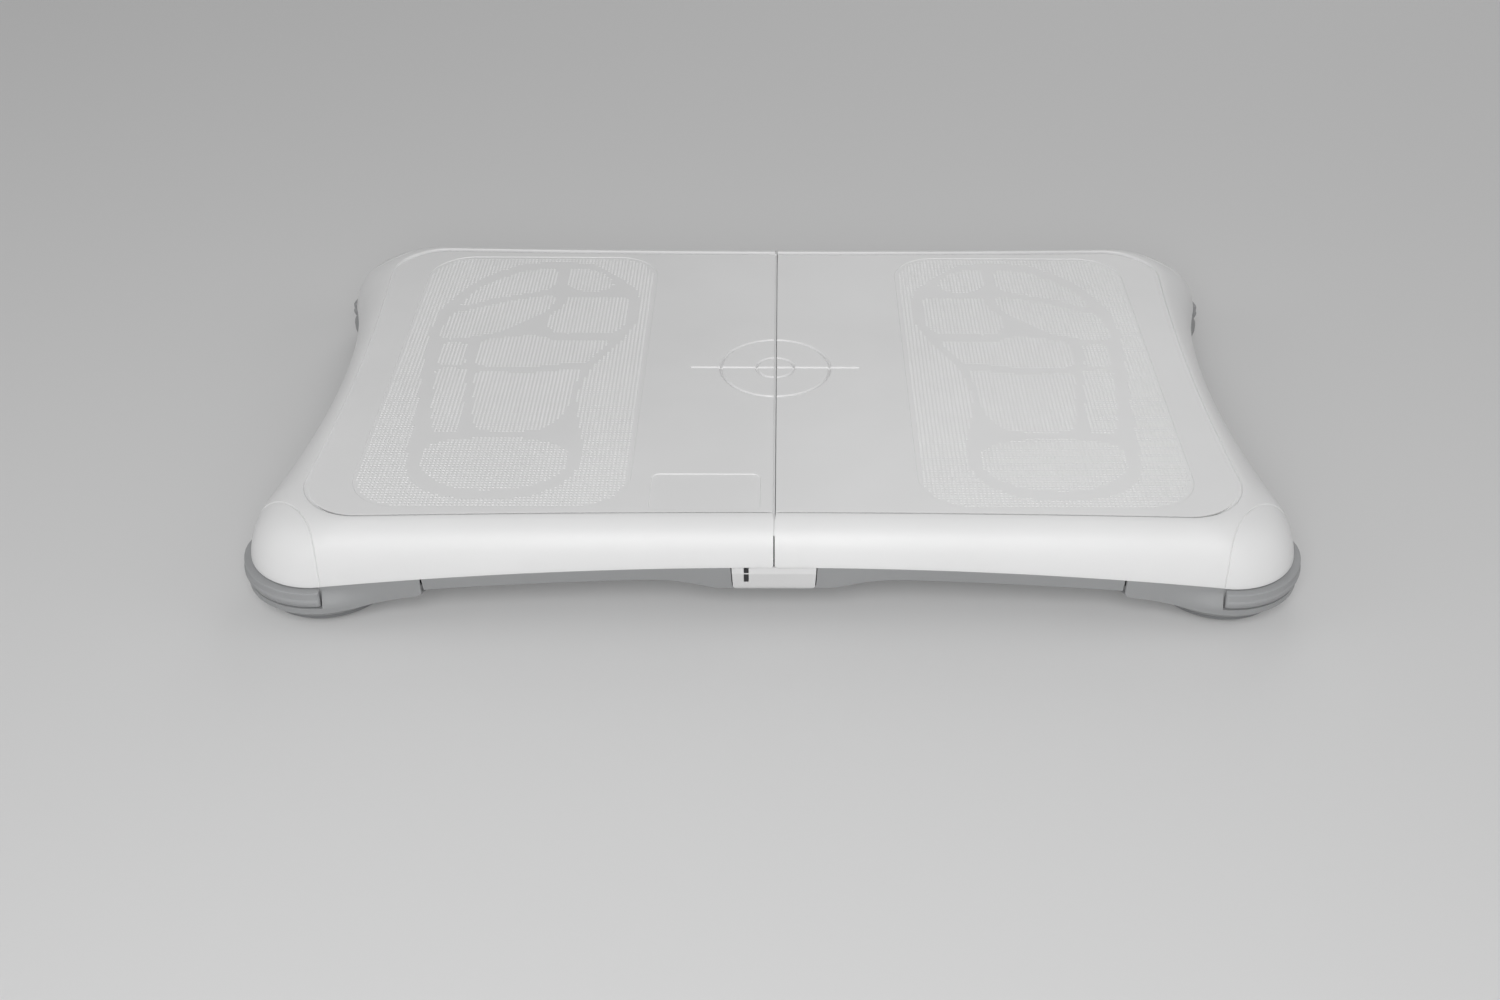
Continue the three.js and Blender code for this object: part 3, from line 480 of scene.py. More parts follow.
def noise(tree, scale, detail, roughness=0.5, vector=None):
    inputs = {"Scale": scale, "Detail": detail, "Roughness": roughness}
    inputs["Vector"] = coordinates(tree) if vector is None else vector
    return add_node(tree, "ShaderNodeTexNoise", inputs).outputs["Fac"]


def mapped(tree, value, low, high):
    """A value from 0 to 1 turned to one from low to high."""
    node = add_node(tree, "ShaderNodeMapRange", {"Value": value, "To Min": low, "To Max": high})
    return node.outputs["Result"]


def calculated(tree, operation, first, second):
    return add_node(tree, "ShaderNodeMath", {0: first, 1: second}, operation=operation).outputs["Value"]


def ramp(tree, value, low, high, at=(0.35, 0.65)):
    node = add_node(tree, "ShaderNodeValToRGB", {"Fac": value})
    for element, place, colour in zip(node.color_ramp.elements, at, (low, high)):
        element.position = place
        element.color = (*colour, 1.0)
    return node.outputs["Color"]


def mixed(tree, factor, first, second, blend="MIX"):
    """Two colours mixed. The colour sockets of this node have numbers, because their names aren't unique."""
    inputs = {"Factor": factor, 6: first, 7: second}
    return add_node(tree, "ShaderNodeMix", inputs, data_type="RGBA", blend_type=blend).outputs[2]


def seen_directly(tree, otherwise, shown):
    """The value shown to the camera and in reflections and glass, and another value for all other light."""
    rays = tree.nodes.new("ShaderNodeLightPath").outputs
    reflected = calculated(tree, "MAXIMUM", rays["Is Camera Ray"], rays["Is Glossy Ray"])
    total = calculated(tree, "MAXIMUM", reflected, rays["Is Transmission Ray"])
    return mapped(tree, total, otherwise, shown)


def painted_crevice_shade(tree, colour, darkest, reach):
    """Painted shade in seams and inside corners, darkest where they are most hidden, within a reach in
    millimetres.
    """
    distance = {"Distance": reach * MM}
    hidden = add_node(tree, "ShaderNodeAmbientOcclusion", distance, samples=8, only_local=True)
    shade = ramp(tree, hidden.outputs["AO"], (darkest,) * 3, (1.0,) * 3, PAINTED_SHADE_RAMP)
    return mixed(tree, 1.0, colour, shade, "MULTIPLY")


def worn_edges(tree, colour, paler):
    """Edges rubbed a little paler, in patches, where the true normal differs from a rounded one."""
    bevel = add_node(tree, "ShaderNodeBevel", {"Radius": WEAR_RADIUS}, samples=4)
    true = tree.nodes.new("ShaderNodeNewGeometry")
    normals = {0: bevel.outputs["Normal"], 1: true.outputs["Normal"]}
    agree = add_node(tree, "ShaderNodeVectorMath", normals, operation="DOT_PRODUCT").outputs["Value"]
    edge = add_node(tree, "ShaderNodeMapRange", {"Value": agree, "From Min": 0.995, "From Max": 0.86})
    rubbed = calculated(tree, "MULTIPLY", edge.outputs["Result"], noise(tree, WEAR_SCALE, 4.0, 0.65))
    return mixed(tree, rubbed, colour, (*paler, 1.0))


def moulded_plastic(name, colour, roughness, grain, grain_scale=2600.0, shade=0.03, coat=0.0, painted_shade=1.0,
                    reach=1.5):
    """Moulded plastic: a fine spark-eroded grain, a slow change of tone, rubbed edges, uneven gloss, and
    painted shade in crevices where asked.
    """
    tree, shader = new_material(name)
    low = [c * (1 - shade) for c in colour]
    high = [min(1.0, c * (1 + shade * 0.6)) for c in colour]
    surface = ramp(tree, noise(tree, TONE_SCALE, 4.0), low, high)
    surface = worn_edges(tree, surface, [min(0.9, c * 1.35 + 0.01) for c in colour])
    # Painted shade: seams and inside corners darkened in the colour by how hidden they are
    if painted_shade < 1:
        surface = painted_crevice_shade(tree, surface, painted_shade, reach)
    eroded = noise(tree, grain_scale, 2.0, 0.6)
    bump = add_node(tree, "ShaderNodeBump", {"Strength": grain, "Distance": GRAIN_DEPTH, "Height": eroded})
    fill(tree, shader, {
        "Base Color": surface,
        "Roughness": mapped(tree, noise(tree, GLOSS_SCALE, 5.0, 0.6), roughness - 0.05, roughness + 0.06),
        "Normal": bump.outputs["Normal"],
        "Coat Weight": coat,
    })


def metal(name, colour, roughness, streak=(1.0, 1.0, 1.0), scale=400.0):
    """Ground or plated metal, whose grain is drawn out by a streak."""
    tree, shader = new_material(name)
    drawn = add_node(tree, "ShaderNodeMapping", {"Vector": coordinates(tree), "Scale": streak})
    grain = noise(tree, scale, 4.0, vector=drawn.outputs["Vector"])
    fill(tree, shader, {
        "Metallic": 1.0,
        "Base Color": ramp(tree, grain, [c * 0.86 for c in colour], colour),
        "Roughness": mapped(tree, grain, roughness - 0.08, roughness + 0.1),
    })


def circuit_board():
    tree, shader = new_material("circuit_board")
    cells = add_node(tree, "ShaderNodeTexBrick", {
        "Scale": 260.0,
        "Color1": (0.02, 0.16, 0.07, 1.0),
        "Color2": (0.03, 0.2, 0.09, 1.0),
        "Mortar": (0.06, 0.27, 0.13, 1.0),
        "Vector": coordinates(tree),
    })
    fill(tree, shader, {"Base Color": cells.outputs["Color"], "Roughness": 0.35})


def make_materials():
    # The white and grey shells carry painted shade in their seams and inside corners
    moulded_plastic("white_shell", (0.84, 0.84, 0.84), 0.42, 0.05, painted_shade=0.25, reach=2.5)
    moulded_plastic("white_button", (0.7, 0.7, 0.7), 0.36, 0.03)
    moulded_plastic("grey_shell", (0.335, 0.34, 0.345), 0.5, 0.08, 2000.0, 0.05, painted_shade=0.25)
    moulded_plastic("bumper", (0.36, 0.365, 0.372), 0.6, 0.12, 1600.0, 0.06)
    moulded_plastic("foot_plastic", (0.22, 0.225, 0.23), 0.55, 0.1, 1800.0, 0.06)
    moulded_plastic("foot_rubber", (0.09, 0.09, 0.095), 0.8, 0.25, 1200.0, 0.12)
    metal("cell_steel", (0.62, 0.62, 0.6), 0.32, (1.0, 12.0, 12.0))
    metal("chassis_steel", (0.56, 0.57, 0.58), 0.42, scale=90.0)
    metal("plated_steel", (0.72, 0.71, 0.68), 0.24)
    circuit_board()
    moulded_plastic("black_plastic", (0.025, 0.025, 0.027), 0.4, 0.05)
    moulded_plastic("dark_lens", (0.012, 0.012, 0.015), 0.12, 0.0, coat=0.5)
    moulded_plastic("red_plastic", (0.55, 0.05, 0.04), 0.3, 0.03)
    moulded_plastic("cell_wrap", (0.1, 0.2, 0.3), 0.28, 0.01, coat=0.3)
    moulded_plastic("lead_sheath", (0.2, 0.2, 0.21), 0.5, 0.05)


def dress_nodes():
    slots = {row["node"]: row["material_slot"] for row in frame["record"]["subparts"]}
    for name, node in frame["nodes"].items():
        node.data.materials.clear()
        node.data.materials.append(MATERIALS[slots[name]])


# Plan outline and heights of the board


def hollow_radius(along, drop, corner_r):
    """Radius of the drawn-in edge that passes its middle point and touches the corner circle."""
    return (along**2 + drop**2 - corner_r**2) / (2 * (corner_r - drop))


def quarter_outline(edge, inset=0.0):
    """The front right quarter of an edge, from the middle of the front to the middle of the side."""
    corner_x, corner_y = edge["corner_x"], edge["corner_y"]
    corner_r = edge["corner_r"] - inset
    mid_x = edge["mid_x"] - inset
    mid_y = edge["mid_y"] - inset
    front_r = hollow_radius(corner_x, mid_y - corner_y, corner_r)
    side_r = hollow_radius(corner_y, mid_x - corner_x, corner_r)
    front_y = -(mid_y + front_r)
    side_x = mid_x + side_r
    to_front = math.atan2(front_y + corner_y, -corner_x)
    to_side = math.atan2(corner_y, side_x - corner_x)
    shares = (np.arange(FRONT_STEPS) / FRONT_STEPS) ** FRONT_CROWDING
    angles = QUARTER + (to_front + QUARTER) * shares
    front = np.column_stack([front_r * np.cos(angles), front_y + front_r * np.sin(angles)])
    front[0, 0] = 0.0
    corner = arc(corner_x, -corner_y, corner_r, to_front, to_side, CORNER_STEPS)
    side = arc(side_x, 0.0, side_r, to_side + math.pi, math.pi, SIDE_STEPS)[1:]
    side[-1, 1] = 0.0
    return np.vstack([front, corner, side])


def outline(edge, inset=0.0):
    quarter = quarter_outline(edge, inset)
    right = np.vstack([quarter, quarter[-2::-1] * (1, -1)])
    left = right[-2:0:-1] * (-1, 1)
    return np.vstack([right, left])


def outline_rings(edge, steps):
    """Rings along an edge, from (inset, height) steps."""
    return [level(outline(edge, inset), z) for inset, z in steps]


def deck_edge_z(ring):
    along_front = np.minimum(1.0, np.abs(ring[:, 0]) / EDGE_RUN_X)
    along_side = np.minimum(1.0, np.abs(ring[:, 1]) / EDGE_RUN_Y)
    return EDGE_MID_Z - EDGE_DROP * np.minimum(along_front, along_side) ** 2


def quadratic(start, handle, end, steps):
    t = np.linspace(0, 1, steps + 1)[:, None]
    return (1 - t) ** 2 * np.array(start) + 2 * t * (1 - t) * np.array(handle) + t**2 * np.array(end)


def cubic(points, steps):
    a, b, c, d = (np.array(p, float) for p in points)
    t = np.linspace(0, 1, steps + 1)[:, None]
    return (1 - t) ** 3 * a + 3 * t * (1 - t) ** 2 * b + 3 * t**2 * (1 - t) * c + t**3 * d


def shoulder_section(steps):
    """Points along the shoulder, as (share of the way out, share of the height)."""
    bend = quadratic((0.0, 1.0), SHOULDER["lead"], SHOULDER["bend"], steps[0])
    face = quadratic(SHOULDER["bend"], SHOULDER["brow"], (1.0, 0.0), steps[1])
    return np.vstack([bend, face[1:]])


def shoulder_rings(inner, outer, top_z, edge_z, steps):
    """Rings from the panel's edge, over the shoulder and down to the outer edge."""
    return [
        level(inner + (outer - inner) * across, edge_z + (top_z - edge_z) * height)
        for across, height in shoulder_section(steps)
    ]


# Deck halves and corner caps


def deck_rings():
    outer = outline(DECK_EDGE)
    edge_z = deck_edge_z(outer)
    panel = outline(PANEL_EDGE)
    along = np.roll(panel, -1, axis=0) - np.roll(panel, 1, axis=0)
    crosswise = np.abs(along[:, 0]) / np.linalg.norm(along, axis=1)
    slit = PANEL_Z - SLIT_DEPTH["side"] - (SLIT_DEPTH["front"] - SLIT_DEPTH["side"]) * crosswise**3
    rings = outline_rings(PANEL_EDGE, [
        (2.8, PANEL_Z),
        (2.4, PANEL_Z - 0.03),
        (2.25, PANEL_Z - 0.12),
        (2.1, slit),
        (0.8, slit),
        (0.55, PANEL_Z - 0.1),
        (0.4, PANEL_Z + 0.3),
        (0.22, TOP_Z - 0.16),
    ])
    rings += shoulder_rings(panel, outer, TOP_Z, edge_z + EDGE_LIP, OUTSIDE_STEPS)
    rings += outline_rings(DECK_EDGE, [(0.12, edge_z + 0.16), (0.45, edge_z), (DECK_SKIN - 0.2, edge_z)])
    under = shoulder_rings(panel, outline(DECK_EDGE, DECK_SKIN), DECK_UNDER_Z, edge_z + 0.2, UNDER_STEPS)
    return rings + under[::-1]


def cap_prisms(gap):
    """The space of the corner caps, each behind a seam that swings from the front edge to the side edge."""
    seam = cubic([(x - gap, -y + gap) for x, y in CAP_SEAM], 40)
    far_x, far_y = CAP_BEYOND
    region = np.vstack([[(seam[0, 0], far_y)], seam, [(far_x, seam[-1, 1])], [CAP_BEYOND]])
    signs = [(sign_x, -sign_y) for sign_x, sign_y in CORNERS.values()]
    return together([prism(region * sign, 0.0, 2 * TOP_Z) for sign in signs])


def crossings(line, other):
    """Where two plan lines cross, as (place along the line, place along the other), counted in segments."""
    a, b = line[:-1, None], line[1:, None] - line[:-1, None]
    c, d = other[None, :-1], other[None, 1:] - other[None, :-1]
    turn = b[..., 0] * d[..., 1] - b[..., 1] * d[..., 0]
    turn = np.where(np.abs(turn) < 1e-9, np.inf, turn)
    away = c - a
    along = (away[..., 0] * d[..., 1] - away[..., 1] * d[..., 0]) / turn
    across = (away[..., 0] * b[..., 1] - away[..., 1] * b[..., 0]) / turn
    i, j = np.nonzero((along >= 0) & (along < 1) & (across >= 0) & (across < 1))
    return list(zip(i + along[i, j], j + across[i, j]))


def cap_seam_path():
    """The seam of the front right cap on the deck's surface, from the front edge to the side edge."""
    seam = cubic([(x, -y) for x, y in CAP_SEAM], 160)
    panel, outer = quarter_outline(PANEL_EDGE), quarter_outline(DECK_EDGE)
    edge_z = deck_edge_z(outer) + EDGE_LIP
    section = shoulder_section(OUTSIDE_STEPS)
    found = []
    for across, height in section:
        for place, j in crossings(seam, panel + (outer - panel) * across):
            low = np.interp(j, np.arange(len(edge_z)), edge_z)
            found.append((place, low + (TOP_Z - low) * height))
    for start, end, low in zip(panel, outer, edge_z):
        for place, share in crossings(seam, np.array([start, end])):
            found.append((place, low + (TOP_Z - low) * np.interp(share, section[:, 0], section[:, 1])))
    places, heights = np.array(sorted(found)).T
    steps = np.arange(len(seam))
    path = np.column_stack([np.interp(places, steps, seam[:, k]) for k in (0, 1)] + [heights])
    apart = np.append(True, np.linalg.norm(np.diff(path, axis=0), axis=1) > GROOVE["spacing"])
    return path[apart]


def groove_bar(path):
    """A bar along a path, whose rings are carried from point to point without a twist."""
    ahead = np.gradient(path, axis=0)
    ahead /= np.linalg.norm(ahead, axis=1)[:, None]
    side = np.cross(ahead[0], (0.3, 0.9, 0.1))
    turns = np.linspace(0, 2 * math.pi, GROOVE["sides"], endpoint=False)[:, None]
    rings = []
    for point, forward in zip(path, ahead):
        side = side - forward * (side @ forward)
        side /= np.linalg.norm(side)
        other = np.cross(forward, side)
        rings.append(point + GROOVE["r"] * (np.cos(turns) * side + np.sin(turns) * other))
    return loft(rings)


def cap_grooves(deck):
    """Shallow round-bottomed grooves in the deck along the cap seams."""
    path = []
    for point in cap_seam_path():
        _, place, normal, _ = deck.closest_point_on_mesh(Vector(point))
        path.append(place + normal * GROOVE["lift"])
    bar = groove_bar(np.array(path))
    bars = [copied(bar, sign_x, -sign_y) for sign_x, sign_y in CORNERS.values()]
    remove(bar)
    return together(bars)


def recess_cutter(x0, x1, y0, y1, r, depth):
    """A rounded rectangle to sink in the panel. Its rings run from its floor over a soft lip and up."""
    floor = PANEL_Z - depth
    wall = [
        (0.35, floor),
        (0.12, floor + 0.07),
        (0.0, floor + 0.22),
        (-0.08, PANEL_Z - 0.1),
        (-0.3, PANEL_Z),
        (-0.34, TOP_Z + 1),
    ]
    return loft([
        level(rounded_rectangle(x0 + inset, x1 - inset, y0 + inset, y1 - inset, r - inset, 14), z)
        for inset, z in wall
    ])


def mark_wall():
    """Half-width and height of the mark's groove, from its floor to above the panel: a V with soft lips."""
    half = MARK["width"] / 2
    floor = PANEL_Z - MARK["depth"]
    return [
        (0.1, floor),
        (0.2, floor + 0.05),
        (half - 0.14, PANEL_Z - 0.1),
        (half + 0.02, PANEL_Z - 0.01),
        (half + 0.12, PANEL_Z),
        (half + 0.14, TOP_Z + 1),
    ]


def ring_cutter(radius, steps):
    wall = mark_wall()
    return turned([(radius - w, z) for w, z in wall[::-1]] + [(radius + w, z) for w, z in wall], steps)


def line_cutter():
    reach = MARK["half_line"] - MARK["width"] / 2
    rings = []
    for half, z in mark_wall():
        right = arc(reach, 0.0, half, -QUARTER, QUARTER, 8)
        left = arc(-reach, 0.0, half, QUARTER, 3 * QUARTER, 8)
        rings.append(level(np.vstack([right, left]), z))
    return loft(rings)


def seam_cutter():
    """The gap between the deck halves, with rounded lower corners at the front and rear."""
    wide, fine, r = SEAM["wide"], SEAM["fine"], SEAM["corner_r"]
    rear_right = np.array([(wide, SEAM["wide_y"]), (fine, SEAM["fine_y"]), (fine, FAR_Y)])
    right = np.vstack([rear_right[::-1] * (1, -1), rear_right])
    plan = np.roll(np.vstack([right, right[::-1] * (-1, 1)]), 1, axis=0)
    below = 20.0
    corner = arc(fine + r, EDGE_MID_Z + r, r, math.pi, 3 * QUARTER, 8)
    section = np.vstack([corner, [(fine + r, below), (-fine - r, below)], corner[::-1] * (-1, 1)])
    front = prism_along("Y", section, -PAST_BOARD_Y, -SEAM["corner_y"])
    rear = prism_along("Y", section, SEAM["corner_y"], PAST_BOARD_Y)
    return combine(prism(plan, 0.0, 2 * TOP_Z), "UNION", front, rear)


def seam_tongue():
    """The strip that closes the centre seam a little below the surface, and hangs from the left half."""
    depth = TONGUE["depth"]
    outer = outline(DECK_EDGE, depth)
    panel = outline(PANEL_EDGE)
    edge_z = deck_edge_z(outer)
    under = outline(DECK_EDGE, TONGUE["under_inset"])
    upper = shoulder_rings(panel, outer, TOP_Z - depth, edge_z, OUTSIDE_STEPS)
    lower = shoulder_rings(panel, under, DECK_UNDER_Z - depth, edge_z + 0.4, UNDER_STEPS)
    layer = loft([level(outline(PANEL_EDGE, 0.8), PANEL_Z - depth), *upper, *lower[::-1]])
    root = block(TONGUE["x0"], TONGUE["x1"], -PAST_BOARD_Y, PAST_BOARD_Y, TONGUE["foot"], TOP_Z)
    return combine(layer, "INTERSECT", root)


def build_deck():
    deck = loft(deck_rings())
    combine(deck, "DIFFERENCE", cap_grooves(deck))
    caps = copied(deck)
    pads = [(PAD["x0"], PAD["x1"]), (-PAD["x1"], -PAD["x0"])]
    recesses = [recess_cutter(*span, -PAD["half_y"], PAD["half_y"], PAD["r"], PAD["depth"]) for span in pads]
    recesses.append(recess_cutter(**NAME_RECESS))
    recesses += [ring_cutter(MARK["outer_r"], 112), ring_cutter(MARK["inner_r"], 64)]
    combine(deck, "DIFFERENCE", together(recesses), line_cutter(), seam_cutter(), cap_prisms(CAP_GAP))
    for half in parted(deck):
        side = "left" if centre_of(half)[0] < 0 else "right"
        if side == "left":
            combine(half, "UNION", seam_tongue())
        finish_piece(half, f"deck_{side}", "board", "white_shell", f"deck_shell_{side}")
    for cap in parted(combine(caps, "INTERSECT", cap_prisms(0.0))):
        x, y, _ = centre_of(cap)
        corner = f"{'front' if y < 0 else 'rear'}_{'left' if x < 0 else 'right'}"
        finish_piece(cap, f"cap_{corner}", "board", "white_shell", f"corner_cap_{corner}")


# Grip dots of the foot pads

DOT_PITCH = (2.0, 2.04)
DOT_SIZE = (1.15, 1.15)
DOT_TAPER = 0.12
DOT_HEIGHT = 0.28
DOT_ROOT = 0.05
DOT_MARGIN = 2.2
DOT_CLEARANCE = 1.9

# Outer edge of the sole on the left pad, from the middle of the heel round by the outer side and the toes
SOLE = [
    (-137, -119.5), (-150, -119), (-161, -116), (-170, -110.5), (-176, -102), (-179.3, -90), (-181, -74),
    (-182.4, -56), (-184, -34), (-186.6, -10), (-188.6, 10), (-190.2, 28), (-190.4, 44), (-188.8, 62),
    (-184, 76), (-178.5, 89), (-170.8, 100), (-160, 110.5), (-150, 118), (-138, 120.2), (-118, 120.2),
    (-107, 117.5), (-98, 109), (-90, 100), (-82.5, 90), (-78.5, 79), (-77.2, 65), (-78, 50), (-82, 36),
    (-87.5, 22.5), (-94, 9.5), (-99.5, -5), (-102.5, -22), (-102.3, -36), (-99.5, -54), (-96.5, -68),
    (-95.3, -84), (-97, -97), (-103.5, -108), (-113, -115), (-124, -118.8),
]

# Dotted zones inside the sole, with smooth bands between them
ZONES = {
    "heel": [
        (-163, -69.5), (-150, -67.5), (-130, -67), (-119, -69), (-109, -73), (-102.5, -79), (-100.6, -87),
        (-103, -96), (-110, -104.5), (-121, -110.5), (-136, -112.5), (-149, -111.5), (-160, -107),
        (-168, -100), (-173.5, -90), (-174, -80), (-170.5, -73.5),
    ],
    "inner_arch": [
        (-158, -4), (-132, -5), (-104.8, -1.5), (-104.8, -15), (-105.4, -30), (-106.9, -41), (-109.7, -49),
        (-113.9, -55.4), (-120, -60.5), (-133, -62), (-145, -61), (-151, -57), (-154, -48), (-157, -24),
    ],
    "outer_arch": [
        (-179.5, -1), (-165, -1.5), (-163, -10), (-160.5, -32), (-159, -50), (-159.5, -61), (-165, -62.5),
        (-171, -61.5), (-174, -53), (-177, -36), (-179, -15),
    ],
    "inner_waist": [
        (-159.8, 4), (-150, 1), (-130, 1.2), (-113, 4.5), (-101, 6), (-96, 17), (-91, 26.5), (-93, 29.8),
        (-108, 29.8), (-123, 29.6), (-127.5, 34), (-143, 34.2), (-152, 31.5), (-160.2, 28.5), (-161, 16),
    ],
    "outer_waist": [(-181.3, 25), (-169, 25.6), (-168, 15), (-166, 4), (-180, 4.6)],
    "outer_ball": [
        (-182.8, 55), (-184.5, 44.6), (-184.3, 32.5), (-179, 30.3), (-169.7, 31.9), (-159.2, 35),
        (-150.8, 39.3), (-144.4, 45.6), (-139.2, 50.9), (-131.8, 58.3), (-127.1, 67.7), (-126.2, 77.5),
        (-130.5, 79.7), (-140.2, 77.9), (-150.8, 74.1), (-161.3, 69.4), (-171.8, 64), (-180, 60),
    ],
    "inner_ball": [
        (-118.8, 78.3), (-120.2, 70.9), (-122.3, 64.6), (-126.5, 58.3), (-128, 50.9), (-126.5, 44.6),
        (-122.3, 38.4), (-113.9, 36.4), (-102.3, 38.2), (-90, 38.4), (-85.6, 42), (-83.6, 50), (-82.9, 62),
        (-84, 74.5), (-88, 79), (-102.3, 78.7),
    ],
    "outer_toes": [
        (-178.6, 68.5), (-177, 75), (-174, 83.6), (-169.7, 91), (-163.4, 97.7), (-157, 103.2),
        (-150.8, 108.2), (-144.4, 111), (-136, 112.4), (-130, 112), (-128, 107), (-127.2, 98),
        (-128.6, 91.5), (-132, 87.3), (-138, 84.2), (-150.8, 79.8), (-161.3, 75.8), (-171.8, 69.9),
        (-177, 66.9),
    ],
    "inner_toe": [
        (-121.4, 111.8), (-121.7, 99.4), (-120, 92.5), (-116.6, 87.8), (-110.7, 85.3), (-102.3, 85.2),
        (-96.2, 87.8), (-94.3, 93), (-95.5, 98.3), (-99.1, 104.6), (-105.4, 110.3), (-112, 112.6),
    ],
}


def smooth_closed(points):
    """A closed Catmull-Rom line through the points, with four steps from each to the next."""
    points = np.array(points, float)
    before, after, beyond = (np.roll(points, k, axis=0) for k in (1, -1, -2))
    slope = after - before
    bend = 2 * before - 5 * points + 4 * after - beyond
    twist = 3 * points - before - 3 * after + beyond
    steps = [0.5 * (2 * points + slope * t + bend * t**2 + twist * t**3) for t in (0.0, 0.25, 0.5, 0.75)]
    return np.stack(steps, axis=1).reshape(-1, 2)


def distance_to_line(places, line):
    """Least distance from each place to a run of segments."""
    best = np.full(len(places), np.inf)
    for a, b in zip(line[:-1], line[1:]):
        along = b - a
        share = np.clip(((places - a) @ along) / (along @ along), 0, 1)
        nearest = a + share[:, None] * along
        best = np.minimum(best, np.hypot(*(places - nearest).T))
    return best


def inside_ring(places, ring):
    inside = np.zeros(len(places), bool)
    for (x0, y0), (x1, y1) in zip(ring, np.roll(ring, -1, axis=0)):
        crosses = (y0 > places[:, 1]) != (y1 > places[:, 1])
        if y0 != y1:
            at = x0 + (places[:, 1] - y0) * (x1 - x0) / (y1 - y0)
            inside ^= crosses & (places[:, 0] < at)
    return inside


def dot_places():
    """Centres of the left pad's dots: round the sole and in its zones, and not in the smooth bands."""
    xs = np.arange(-PAD["x1"] + DOT_MARGIN, -PAD["x0"] - DOT_MARGIN + 0.1, DOT_PITCH[0])
    ys = np.arange(-PAD["half_y"] + DOT_MARGIN, PAD["half_y"] - DOT_MARGIN + 0.1, DOT_PITCH[1])
    places = np.array([(x, y) for y in ys for x in xs])
    pad = rounded_rectangle(-PAD["x1"], -PAD["x0"], -PAD["half_y"], PAD["half_y"], PAD["r"], 12)
    clear = distance_to_line(places, np.vstack([pad, pad[:1]])) > DOT_CLEARANCE
    places = places[inside_ring(places, pad) & clear]
    dotted = ~inside_ring(places, smooth_closed(SOLE))
    for zone in ZONES.values():
        dotted |= inside_ring(places, smooth_closed(zone))
    return places[dotted]


def dot_mesh(places):
    """A square peg at each place, a little narrower at its top."""
    floor = PANEL_Z - PAD["depth"]
    signs = np.array([(-1, -1), (1, -1), (1, 1), (-1, 1)], float)
    half = np.array(DOT_SIZE) / 2
    low, high = level(signs * half, floor - DOT_ROOT), level(signs * (half - DOT_TAPER), floor + DOT_HEIGHT)
    points = level(places, 0.0)[:, None] + np.vstack([low, high])
    faces = [(3, 2, 1, 0), (4, 5, 6, 7), (0, 1, 5, 4), (1, 2, 6, 5), (2, 3, 7, 6), (3, 0, 4, 7)]
    starts = 8 * np.arange(len(places))[:, None, None]
    return mesh_object(points.reshape(-1, 3), (starts + faces).reshape(-1, 4).tolist())


def build_grip_dots():
    places = dot_places()
    for side, sign in (("left", 1), ("right", -1)):
        finish_piece(dot_mesh(places * (sign, 1)), f"grip_dots_{side}", "board", "white_shell")


# Bottom tray


def band_z(ring):
    """Height of the grey band's lower edge, which dips round the power button."""
    edge = np.maximum(deck_edge_z(ring) - TRAY["band"], TRAY["floor"] + FIT_GAP)
    share = np.clip((HOUSING["end"] - np.abs(ring[:, 0])) / (HOUSING["end"] - HOUSING["flat"]), 0, 1)
    blend = np.where(ring[:, 1] < 0, share**2, 0.0)
    return edge + (HOUSING["z"] - edge) * blend


def tray_bowl():
    base = outline(DECK_EDGE)
    top = deck_edge_z(base) - TRAY["gap"]
    low = band_z(base)
    floor = TRAY["floor"]
    foot = TRAY["inset"] + TRAY["slope"]
    inner = TRAY["inset"] + TRAY["wall"]
    return loft(outline_rings(DECK_EDGE, [
        (TRAY["slope_inset"] + 0.8, floor),
        (TRAY["slope_inset"] - 0.6, floor + 0.1),
        (foot + 0.9, low + (floor - low) * 0.06),
        (foot + 0.3, low + 0.12),
        (foot, low + 0.5),
        (TRAY["inset"], top - 0.3),
        (TRAY["inset"] + 0.3, top),
        (inner, top),
        (inner + TRAY["slope"], np.maximum(low + 1.6, TRAY["floor_top"]) + FIT_GAP),
        (TRAY["slope_inset"] + 1.2, TRAY["floor_top"]),
    ]))


def cylinder(r, z0, z1, steps, at):
    return turned([(0, z0), (r, z0), (r, z1), (0, z1)], steps, at)


def finger_notch(door_edge_y):
    """Scoop in front of the battery door, for the finger that lifts its latch."""
    floor = TRAY["floor"]
    depth, reach, half_x = (NOTCH[k] for k in ("depth", "reach", "half_x"))
    turns = np.linspace(0, QUARTER, 8)
    curve = [(door_edge_y - reach * math.cos(a), floor - 0.01 + depth * math.sin(a)) for a in turns]
    ends = [(door_edge_y + 1, floor - 1), (door_edge_y + 1, floor + depth)]
    return prism_along("X", [*ends, *curve[::-1], (door_edge_y - reach, floor - 1)], -half_x, half_x)


def button_face(gap, sill_gap, top):
    """Outline of the power button in its own plane: sides that taper down to rounded lower corners."""
    r = BUTTON["r"] + gap
    low_x = BUTTON["half_x"] - BUTTON["taper"] + gap
    top_x = low_x + BUTTON["taper"] * (top - BUTTON["z0"]) / (BUTTON["z1"] - BUTTON["z0"])
    bottom = BUTTON["z0"] - sill_gap
    return np.vstack([
        arc(-low_x + r, bottom + r, r, math.pi, 3 * QUARTER, 10),
        arc(low_x - r, bottom + r, r, -QUARTER, 0, 10),
        [(top_x, top), (-top_x, top)],
    ])


